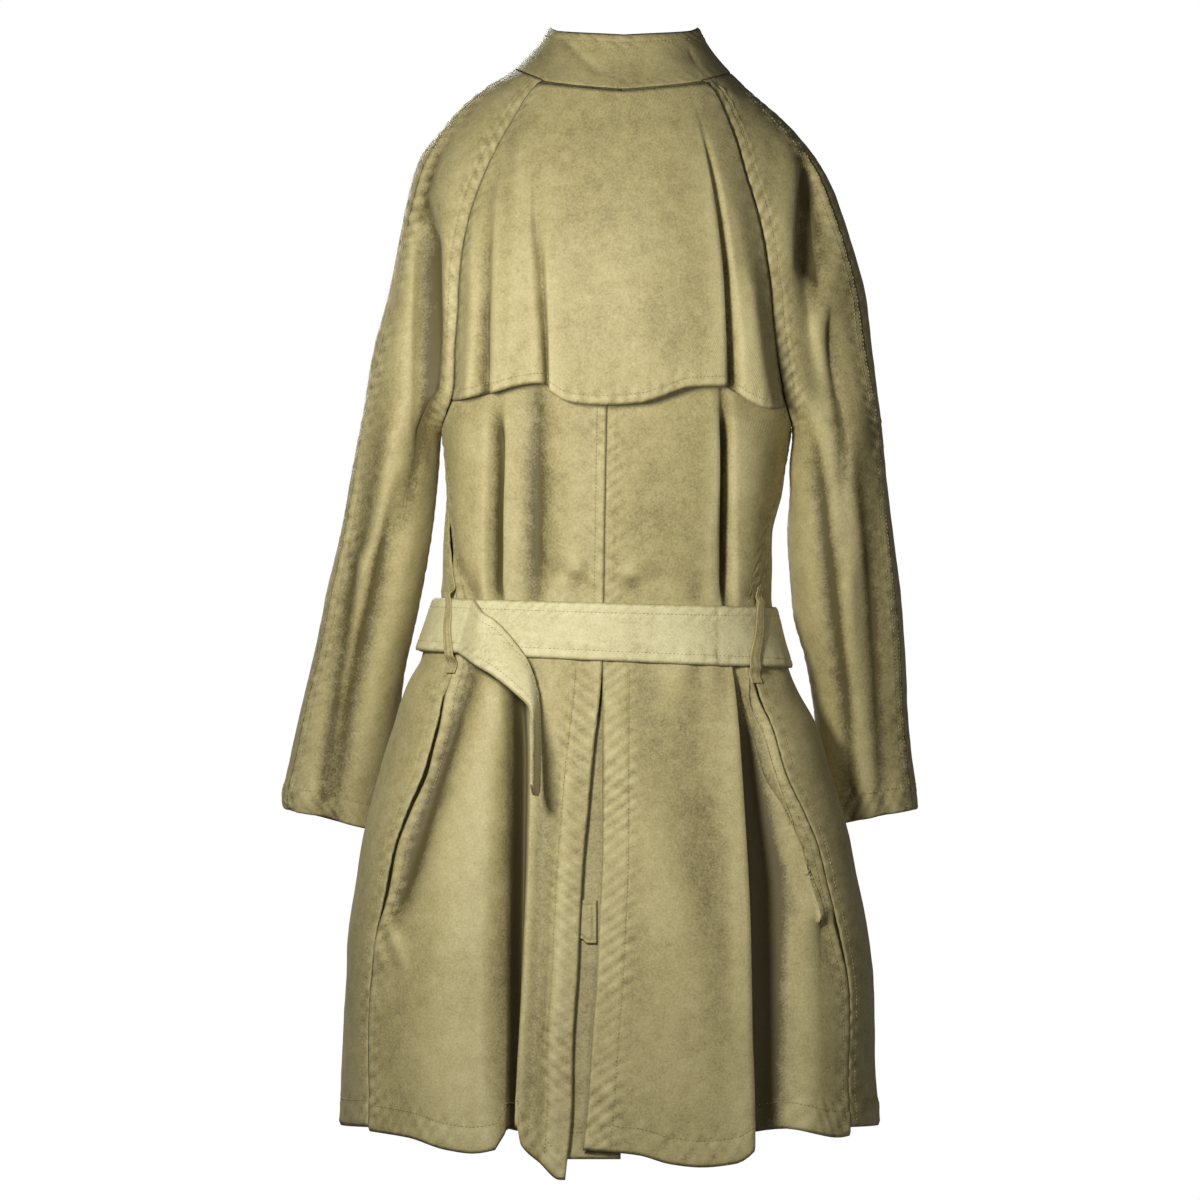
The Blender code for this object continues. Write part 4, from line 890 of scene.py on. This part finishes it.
# The storm flap: one lined piece over the upper back, caught in the neck and raglan seams, pleated by its
# own fullness, free along its hem, which is turned and topstitched 10 mm up.
# Storm flap: height, left recess (outer, bottom, inner), middle pleat, right pleat (edge, bottom, outer).
FLAP_LINES = np.array([
    (20, 45, 38, 31, 14, 10, 6, -64, -68, -73), (-34, 78, 70, 62, 44, 39, 34, -82, -85, -90),
    (-97, 110, 101, 93, 66, 61, 56, -94, -98, -104), (-168, 112, 102, 95, 60, 55, 49, -101, -105, -113),
    (-260, 112, 102, 95, 54, 50, 46, -103.5, -108, -120), (-300, 112, 102, 95, 53, 49, 45, -104, -109, -121),
])
FLAP_DEPTHS = np.array([
    (20, 0, 0, 0), (-34, 0, 0, 0.5), (-97, 1, 0, 5), (-150, 5, 3, 8), (-200, 8, 6, 10), (-260, 11, 10, 13),
    (-300, 12, 11, 14),
])
FLAP_LIFT = np.array([(20, 0), (-20, 0.5), (-97, 5), (-200, 10.5), (-260, 14), (-300, 15.5)])
FLAP_HEM = np.array([
    (-163, -285), (-132, -283), (-121, -278), (-106, -266), (-103, -265), (-75, -266), (-51, -274),
    (-31, -280), (1, -282), (29, -280), (46, -270), (55, -262), (75, -265), (91, -270), (109, -274),
    (138, -280),
])
FLAP_CREASES = (
    (1.8, ((-30, 68, 10, 8, 0), (-62, 73, 11, 8, 2), (-170, 77, 13, 10, 2.6), (-280, 80, 12, 10, 1))),
    (1.0, ((-60, 64, 2.5, 8, 0), (-116, 64, 2.5, 9, 1.5), (-262, 56, 2.5, 10, 2.5), (-290, 55, 2.5, 10, 2.5))),
    (1.0, ((-8, -79, 2.5, 14, 0), (-78, -91, 2.5, 14, 1.4), (-189, -102, 2.5, 16, 2.2), (-285, -103, 2.5, 16, 2.2))),
    (1.2, ((-40, 48, 14, 2.5, 0), (-110, 51, 16, 2.5, 1.2), (-285, 46, 18, 2.5, 2))),
    (1.2, ((-70, 118, 3, 12, 0), (-150, 115, 3, 14, 1.5), (-285, 114, 3, 14, 1.8))),
    (1.2, ((-70, 92, 9, 3, 0), (-150, 94, 9, 3, 1.5), (-285, 93, 9, 3, 2))),
    (2.0, ((-150, -124, 8, 8, 0), (-200, -126, 9, 10, 2.5), (-285, -132, 12, 12, 3))),
    (2.0, ((-30, -30, 22, 22, 0), (-120, -34, 26, 26, 1.6), (-220, -30, 28, 28, 1.4), (-285, -30, 24, 24, 0.6))),
)


def seam_x(z, side):
    return body_base(side * seam_angle(z, False), z)[..., 0]


def flap_point(x, z):
    angle = across(x, z)
    inside = ease(np.minimum(seam_x(z, 1) - x, x - seam_x(z, -1)) / 26)
    lines, depths = FLAP_LINES, FLAP_DEPTHS
    drop = along(depths, z, 1) * trough(x, *(along(lines, z, k) for k in (3, 2, 1)))
    drop = drop + along(depths, z, 2) * trough(x, *(along(lines, z, k) for k in (6, 5, 4)))
    drop = drop + along(depths, z, 3) * trough(x, *(along(lines, z, k) for k in (7, 8, 9)))
    lift = 0.5 + CLOTH + np.maximum(along(FLAP_LIFT, z) * inside - drop, 0)
    return body(angle, z) + base_facing(angle, z) * lift[..., None], drop


def flap_grid():
    rows = -np.linspace(-4, 280, 96)
    left, right = seam_x(rows, 1) - 1.2, seam_x(rows, -1) + 1.2
    marks = [along(FLAP_LINES, rows, k) for k in range(1, 10)]
    x = between(left, 8, marks[0], 6, marks[1], 6, marks[2], 12, marks[3], 5, marks[4], 5, marks[5], 44,
                marks[6], 5, marks[7], 7, marks[8], 16, right)
    even = left[:, None] + (right - left)[:, None] * np.linspace(0, 1, x.shape[1])
    mix = ease((-rows - 5) / 95)[:, None]
    x = even * (1 - mix) + x * mix
    z = np.repeat(rows[:, None], x.shape[1], 1)
    z = z + ease((rows[:, None] + 60) / 64) * (neck_z(across(x, z)) - 6.5)
    z = z + ease((-190 - rows[:, None]) / 90) * (along(FLAP_HEM, x) + 280)
    (base, drop), out = flap_point(x, z), base_facing(across(x, z), z)
    run, down = run_across(base), run_down(base)
    from_hem, from_seam = down[-1:] - down, np.minimum(run, run[:, -1:] - run)
    clear = ease(from_seam / 10) * ease((10 - z) / 30)
    rise = 1.5 * laid(FLAP_CREASES, x, z) * clear
    middle = ease((x + 85) / 25) * ease((60 - x) / 25)
    rise = rise - 1.1 * hump((z + 173 + 0.03 * x) / 4.5) * middle
    rise = rise + (0.7 * crumple(base, 42, 70) + 0.25 * crumple(base, 14, 73)) * clear
    hem, hem_tone = band(from_hem, run, 10.8, 0.35, 0.65, 0.55, seed=24)
    side, side_tone = band(from_seam, down, 5, 0.0, 0.2, 0.55, seed=26)
    rise = np.maximum(rise + hem, -1.2) + np.maximum(side, -0.1)
    rise[-1] -= 0.4
    points = base + out * rise[..., None]
    # Painted shade and highlight: paler on what stands proud, darker in what is sunk and in the pleats' recesses.
    tone = hem_tone + side_tone + 0.15 * crumple(base, 60, 76) + painted_relief_light(rise - drop)
    return points, grid_normals(points, out), tone


points, normal, tone = flap_grid()
sewn("storm_flap", points, normal, tone)
stitching("storm_flap_stitching", [line_beside(points[:, 1:-1], normal[:, 1:-1], "hem", 9.3)], THREAD)

# The vent's underlay, a strip of the same cotton behind the open middle edges, and the small tab that
# buttons across it, with one worked keyhole.


def underlay_grid():
    rows = -np.linspace(519, 956, 140)
    left, right = np.interp(-rows, [519, 600, 956], [24, 44, 60]), np.interp(-rows, [519, 600, 956], [-16, -20, -14])
    x = right[:, None] + (left - right)[:, None] * np.linspace(0, 1, 26)
    z = np.repeat(rows[:, None], 26, 1)
    angle = across(x, z)
    base, out = body(angle, z), base_facing(angle, z)
    base = base - out * (CLOTH + 0.6 + 3.2 * ease((-530 - z) / 90))[..., None]
    run, down = run_across(base), run_down(base)
    hem, hem_tone = band(down[-1:] - down, run, 25, 0.2, 0.6, 0.3, seed=28)
    rise = np.minimum(0.6 * crumple(base, 34, 80) + hem, 0.4) * ease((-530 - z) / 40)
    points = base + out * rise[..., None]
    normal = grid_normals(points, out)
    # Painted shade: the tone is lowered all over, for the shade under the vent's edges.
    return points, normal, hem_tone - 0.25 + 0.15 * crumple(base, 60, 83)


points, normal, tone = underlay_grid()
sewn("vent_underlay", points, normal, tone)
stitching("vent_underlay_stitching", [line_beside(points, normal, "hem", 24)], THREAD)


def tab_grid():
    x, z = np.meshgrid(np.linspace(7.5, 31, 22), np.linspace(-725, -760, 30))
    z = z - 4.0 * ease((21 - x) / 5) * ease((-745 - z) / 12)
    angle = across(x, z)
    out = base_facing(angle, z)
    base = body(angle, z) - out * (CLOTH + 0.85)
    run, down = run_across(base), run_down(base)
    edge = np.minimum(np.minimum(run, down), down[-1:] - down)
    rise = -0.3 * hump((edge - 4) / 1.0) - 0.35 * ease((0.8 - edge) / 0.8)
    points = base + out * rise[..., None]
    # Painted shade: darker all over for the shade under the vent's edge, and darker down the stitch groove 4 mm
    # inside its edges.
    return points, grid_normals(points, out), -0.5 * hump((edge - 4) / 1.2) - 0.15


points, normal, tone = tab_grid()
sewn("vent_tab", points, normal, tone)
turns = np.linspace(0, 2 * np.pi, 30)
eye_x, eye_z = 14.5 + 2.2 * np.cos(turns), -743 + 2.4 * np.sin(turns)
slit_x, slit_z = np.linspace(16.5, 26, 16), np.full(16, -743.0)
keyhole = []
for place_x, place_z in ((eye_x, eye_z), (slit_x, slit_z + 0.9), (slit_x, slit_z - 0.9)):
    angle = across(place_x, place_z)
    up = base_facing(angle, place_z)
    keyhole.append((body(angle, place_z) - up * (CLOTH + 0.7), up))
across_tab = [line_beside(points, normal, edge, 4) for edge in ("head", "hem")]
stitching("vent_tab_stitching", keyhole + across_tab, THREAD, pitch=1.6, length=1.5, radius=0.35)

# The belt: a long strip of paler twill, doubled and topstitched 9 mm inside both edges. It starts at the
# buckle, goes once round over the wearer's left side, through the buckle, on over the left side again
# and through the left loop, and its end turns down and hangs.
# The loose belt end after its loop: upper edge, lower edge.
BELT_END = np.array([
    (112, 82.5, -467, 117, 97, -516), (99, 89, -475, 104, 109, -523), (82, 95, -493, 84, 123, -537),
    (66, 101, -517, 66, 137, -555), (58.5, 108, -547, 64.5, 154, -569), (57, 117, -582, 64, 166, -593),
    (57, 130, -625, 64, 181, -622),
])
BELT_DROP = 52.0
BELTING = twill("belt_twill", (0.58, 0.52, 0.28), (0.30, 0.25, 0.11), (0.74, 0.67, 0.41), 0.6)


def belt_edges(angle):
    wrapped = (angle + 180) % 360 - 180
    x = body_base(wrapped, -487.0 + 0 * angle)[..., 0]
    return wrapped, -460.5 + 0.027 * x, -460.5 - BELT_DROP + 0.047 * x


def belt_grid():
    first = np.concatenate([[177.5, 172, 166], np.linspace(158, 110, 5), np.linspace(99, -99, 21),
                            np.linspace(-110, -160, 5)])
    ramp = np.array([-167.5, -171, -175.5, -178.5, -181.5, -184.5, -189, -192.5])
    second = np.concatenate([np.linspace(-200, -250, 5), np.linspace(-261, -294, 4), [-300, -306, -311]])
    angles = np.concatenate([first, ramp, second])
    lift = np.concatenate([np.full(len(first), 3.8), (6.2, 7.4, 12.6, 15.4, 15.4, 12.6, 9.8, 9.8),
                           np.full(len(second), 7.4)])
    lift[:4] = (6.2, 6.2, 6.0, 4.8)
    lift[len(first) + len(ramp):len(first) + len(ramp) + 2] = (9.0, 7.8)
    knot = np.arange(len(angles), dtype=float)
    fine = np.linspace(0, knot[-1], int(knot[-1]) * 8 + 1)
    turned = np.interp(fine, knot, angles)
    raised = along(np.column_stack([knot, lift]), fine)
    wrapped, high, low = belt_edges(turned)
    top = body_base(wrapped, high) + base_facing(wrapped, high) * raised[:, None]
    foot = body_base(wrapped, low) + base_facing(wrapped, low) * raised[:, None]
    end = np.concatenate([[np.concatenate([top[-1], foot[-1]])], BELT_END])
    end = np.column_stack([np.arange(len(end)), end])
    tail = np.stack([along(end, np.linspace(0, len(end) - 1, 90), k) for k in range(1, 7)], -1)[1:]
    top, foot = np.concatenate([top, tail[:, :3]]), np.concatenate([foot, tail[:, 3:]])
    tip = (top[-1] + foot[-1]) / 2 + np.array([0, 0, -9])
    swing = (foot[-1] - top[-1]) / 2
    share = np.linspace(0, 1, 7)[1:, None]
    narrow = swing * (1 - 0.65 * share**1.6)
    middle = (top[-1] + foot[-1]) / 2 * (1 - share) + tip * share
    top, foot = np.concatenate([top, middle - narrow]), np.concatenate([foot, middle + narrow])
    steps = np.linspace(0, 1, 22)[:, None, None]
    base = top * (1 - steps) + foot * steps
    run = np.gradient((top + foot) / 2, axis=0)
    normal = np.cross(top - foot, run)
    normal /= np.linalg.norm(normal, axis=-1, keepdims=True)
    if (normal[80] * np.array([base[10, 80, 0], base[10, 80, 1], 0])).sum() < 0:
        normal = -normal
    out = np.broadcast_to(normal, base.shape)
    around, down = run_across(base), run_down(base)
    edge = np.minimum(down, down[-1:] - down)
    x, z = base[..., 0], base[..., 2]
    behind = ease((base[..., 1] - 40) / 20) * (around < around[0, len(fine) - 1] * 0.62)
    rise, tone = band(edge, around, 10.4, 0.15, 0.5, 0.28, seed=30)
    rise = rise + 0.55 * crumple(base, 30, 90) * ease(edge / 4)
    sweep = z + 489 + 0.15 * (69 - x)
    across_face = ease((x + 25) / 25) * ease((92 - x) / 20) * behind
    rise = rise + (1.5 * hump(sweep / 5.5) - 1.2 * hump((sweep - 11) / 6)) * across_face
    join = np.exp(-np.abs((x + 100) / 1.2)) * behind
    shadowed = ease((np.abs(x + 5) - 118) / 14) * behind
    rise = rise - 0.5 * join - 0.35 * ease((1.0 - edge) / 1.0)
    tone = tone - 0.8 * join - 0.25 * shadowed + 0.2 * crumple(base, 50, 93)
    return base + out * rise[..., None], out, tone


points, normal, tone = belt_grid()
sewn("belt", points, normal, tone, wall=DOUBLE_WALL, material=BELTING)
belt_lines = [line_beside(points, normal, "head", 9.0), line_beside(points, normal, "hem", 9.0)]
inside = points - DOUBLE_WALL * normal
belt_lines += [line_beside(inside[:, 420:], -normal[:, 420:], edge, 9.0) for edge in ("head", "hem")]
BELT_THREAD = plain("belt_thread", (0.46, 0.40, 0.22), 0.75)
stitching("belt_stitching", belt_lines, BELT_THREAD)

# Two belt loops: folded strips of the cotton over the belt at the side seams, sewn down at both ends.
LOOP_WALL = 1.4
for name, side, width, heights, clear in (
    ("belt_loop_left", 1, 12.0, (-438, -446, -454, -468, -496, -509, -516, -524), 8.1),
    ("belt_loop_right", -1, 15.0, (-446, -454, -462, -476, -505, -519, -526, -533), 4.6),
):
    knot = np.arange(8.0)
    fine = np.linspace(0, 7, 60)
    z = along(np.column_stack([knot, heights]), fine)[:, None] * np.ones(15)
    raised = along(np.column_stack([knot, (0, 0, 1, 1, 1, 1, 0, 0)]), fine)[:, None] * clear
    spread = width / 2 / 150 * 180 / np.pi
    angle = side * seam_angle(z, False) + np.linspace(-spread, spread, 15) * side
    out = base_facing(angle, z)
    points = body_base(angle, z) + out * (raised + LOOP_WALL + 0.9)[..., None]
    over, down = run_across(points), run_down(points)
    edge = np.minimum(over, over[:, -1:] - over)
    ends = np.minimum(down, down[-1:] - down)
    rise = -0.35 * ease((0.9 - edge) / 0.9) - 0.3 * hump((edge - 2.6) / 0.7)
    points = points + out * (rise - 0.4 * hump((ends - 6) / 1.0))[..., None]
    normal = grid_normals(points, out)
    # Painted shade down the stitch grooves 2.6 mm inside the long edges.
    tone = -0.5 * hump((edge - 2.6) / 0.9) + 0.3 * crumple(points, 18, 95 + side)
    sewn(name, points, normal, tone)
    bars = [line_beside(points, normal, edge, inset) for edge, inset in
            (("head", 6), ("hem", 6), ("start", 2.6), ("end", 2.6))]
    stitching(name + "_stitching", bars, THREAD, pitch=2.6, length=2.1)

# The slide buckle: dark resin, a rounded frame with a middle bar that the belt passes behind and over.
RESIN = plain("dark_resin", (0.075, 0.05, 0.03), 0.32, 0.4)


def rounded_bar(name, place, half, radius):
    """A resin bar with softened edges, in metres from its middle and half sizes in millimetres."""
    bpy.ops.object.select_all(action="DESELECT")
    bpy.ops.mesh.primitive_cube_add(size=2, location=np.array(place) * MM)
    bar = bpy.context.active_object
    bar.name = name
    bar.scale = np.array(half) * MM
    bpy.ops.object.transform_apply(location=True, rotation=False, scale=True)
    soft = bar.modifiers.new("edges", "BEVEL")
    soft.width, soft.segments = radius * MM, 4
    bpy.ops.object.modifier_apply(modifier=soft.name)
    return bar


BUCKLE_Y, BUCKLE_Z = -126.1, -486.5
bars = [
    rounded_bar("buckle_resin", (-29, BUCKLE_Y, BUCKLE_Z), (2.0, 1.5, 32), 1.2),
    rounded_bar("buckle_side", (29, BUCKLE_Y, BUCKLE_Z), (2.0, 1.5, 32), 1.2),
    rounded_bar("buckle_bar", (0, BUCKLE_Y, BUCKLE_Z), (2.0, 1.4, 31), 1.1),
    rounded_bar("buckle_top", (0, BUCKLE_Y, BUCKLE_Z + 30), (30.5, 1.5, 2.0), 1.2),
    rounded_bar("buckle_foot", (0, BUCKLE_Y, BUCKLE_Z - 30), (30.5, 1.5, 2.0), 1.2),
]
bpy.ops.object.select_all(action="DESELECT")
for bar in bars:
    bar.select_set(True)
bpy.context.view_layer.objects.active = bars[0]
bpy.ops.object.join()
buckle = bars[0]
bpy.ops.object.transform_apply(location=True, rotation=True, scale=True)
for face in buckle.data.polygons:
    face.use_smooth = True
buckle.data.materials.append(RESIN)
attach(buckle, "root")
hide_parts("buckle")

# Five front buttons: turned resin, dished, four holes sewn through with crossed thread. Beside each lies
# a worked buttonhole in the left front.
BUTTON_PROFILE = ((0.0, 2.3), (5.2, 2.3), (6.4, 2.5), (7.4, 3.3), (8.4, 3.6), (9.3, 3.5), (10.2, 2.9), (10.5, 2.0),
                  (10.2, 0.7), (9.2, 0.1), (0.0, 0.0))
BUTTON_HEIGHTS = (-72, -175, -278, -381, -610)
HOLES = ((1.7, 1.7), (1.7, -1.7), (-1.7, -1.7), (-1.7, 1.7))
threads = []
for number, height in enumerate(BUTTON_HEIGHTS, 1):
    z = np.array(float(height))
    angle = across(np.array(0.0), z, front=True)
    angle = np.where(angle == 0, 180.0, angle)
    normal = base_facing(angle, z)
    seat = body_base(angle, z) + normal * (LAP_LIFT + 0.45)
    sideways = np.cross(normal, [0, 0, 1.0])
    sideways /= np.linalg.norm(sideways)
    upward = np.cross(sideways, normal)
    turn = np.arange(40) * 2 * np.pi / 40
    disc = sideways * np.cos(turn)[:, None] + upward * np.sin(turn)[:, None]
    rings = [seat + disc * max(reach, 0.01) + normal * tall for reach, tall in BUTTON_PROFILE]
    grid = np.arange(len(rings) * 40).reshape(len(rings), 40)
    step = np.roll(grid, -1, 1)
    faces = np.stack([grid[:-1], grid[1:], step[1:], step[:-1]], -1).reshape(-1, 4).tolist()
    faces += [grid[0].tolist(), grid[-1][::-1].tolist()]
    mesh = bpy.data.meshes.new(f"button_{number}_resin")
    mesh.from_pydata((np.concatenate(rings) * MM).tolist(), [], faces)
    mesh.polygons.foreach_set("use_smooth", np.ones(len(faces), bool))
    mesh.materials.append(RESIN)
    button = placed(f"button_{number}_resin", mesh)
    centre = Vector(seat * MM)
    if sum((f.center - centre).dot(f.normal) * f.area for f in mesh.polygons) < 0:
        mesh.flip_normals()
    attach(button, "root")
    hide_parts(f"button_{number}")
    for a, b in ((0, 2), (1, 3)):
        ends = [seat + sideways * HOLES[k][0] * 1.3 + upward * HOLES[k][1] * 1.3 for k in (a, b)]
        share = np.linspace(0, 1, 12)[:, None]
        line = ends[0] * (1 - share) + ends[1] * share + normal * (2.55 + 0.4 * np.sin(np.pi * share))
        threads.append((line, np.tile(normal, (12, 1))))
    share = np.linspace(-1, 1, 20)[:, None]
    for offset in (-0.9, 0.9):
        line = seat + sideways * (-3.5 + 12.5 * share) + upward * offset - normal * 0.25
        threads.append((line, np.tile(normal, (20, 1))))
stitching("button_stitching", threads, THREAD, pitch=1.1, length=1.3, radius=0.4)

# A pale floor below the hem, white surroundings, soft light on the back and the front, a long lens.
bpy.ops.object.select_all(action="DESELECT")
bpy.ops.mesh.primitive_plane_add(size=3.2, location=(0, 0, -1.9))
floor = bpy.context.active_object
floor.name = "floor"
floor.data.materials.append(plain("pale_floor", (0.62, 0.62, 0.62), 0.9))

world = bpy.data.worlds.new("white")
bpy.context.scene.world = world
world.use_nodes = True
nodes, links = world.node_tree.nodes, world.node_tree.links
glow = nodes["Background"]
glow.inputs["Color"].default_value = (0.96, 0.98, 1.0, 1)
glow.inputs["Strength"].default_value = 0.07
paper = nodes.new("ShaderNodeBackground")
paper.inputs["Color"].default_value = (1, 1, 1, 1)
paper.inputs["Strength"].default_value = 1.0
seen = nodes.new("ShaderNodeLightPath")
either = nodes.new("ShaderNodeMixShader")
links.new(seen.outputs["Is Camera Ray"], either.inputs["Fac"])
links.new(glow.outputs["Background"], either.inputs[1])
links.new(paper.outputs["Background"], either.inputs[2])
links.new(either.outputs["Shader"], nodes["World Output"].inputs["Surface"])
bpy.context.scene.view_settings.view_transform = "Standard"
bpy.context.scene.view_settings.look = "None"


def soft_light(name, place, aim, size, power):
    lamp = bpy.data.lights.new(name, "AREA")
    lamp.shape, lamp.size, lamp.energy = "DISK", size, power
    made = placed(name, lamp)
    made.location = place
    made.rotation_euler = (Vector(aim) - Vector(place)).to_track_quat("-Z", "Y").to_euler()


soft_light("key", (0.38, 1.0, -0.18), (0, 0, -0.3), 0.25, 12.5)
soft_light("right", (-0.6, 1.3, -0.5), (-0.08, 0, -0.5), 0.4, 2.5)
soft_light("front_fill", (0.5, -2.2, 0.3), (0, 0, -0.4), 1.2, 46)

camera = bpy.data.cameras.new("camera")
LENS, SENSOR, FRAME = 400, 24, 1.08  # the long lens shows a field FRAME metres wide
camera.lens, camera.sensor_width = LENS, SENSOR
camera.clip_end = 60
eye = placed("camera", camera)
AIM = Vector((0.0045, 0.0, -0.458))
eye.location = AIM + Vector((0, FRAME * LENS / SENSOR, 0.02))
eye.rotation_euler = (AIM - eye.location).to_track_quat("-Z", "Y").to_euler()
bpy.context.scene.camera = eye
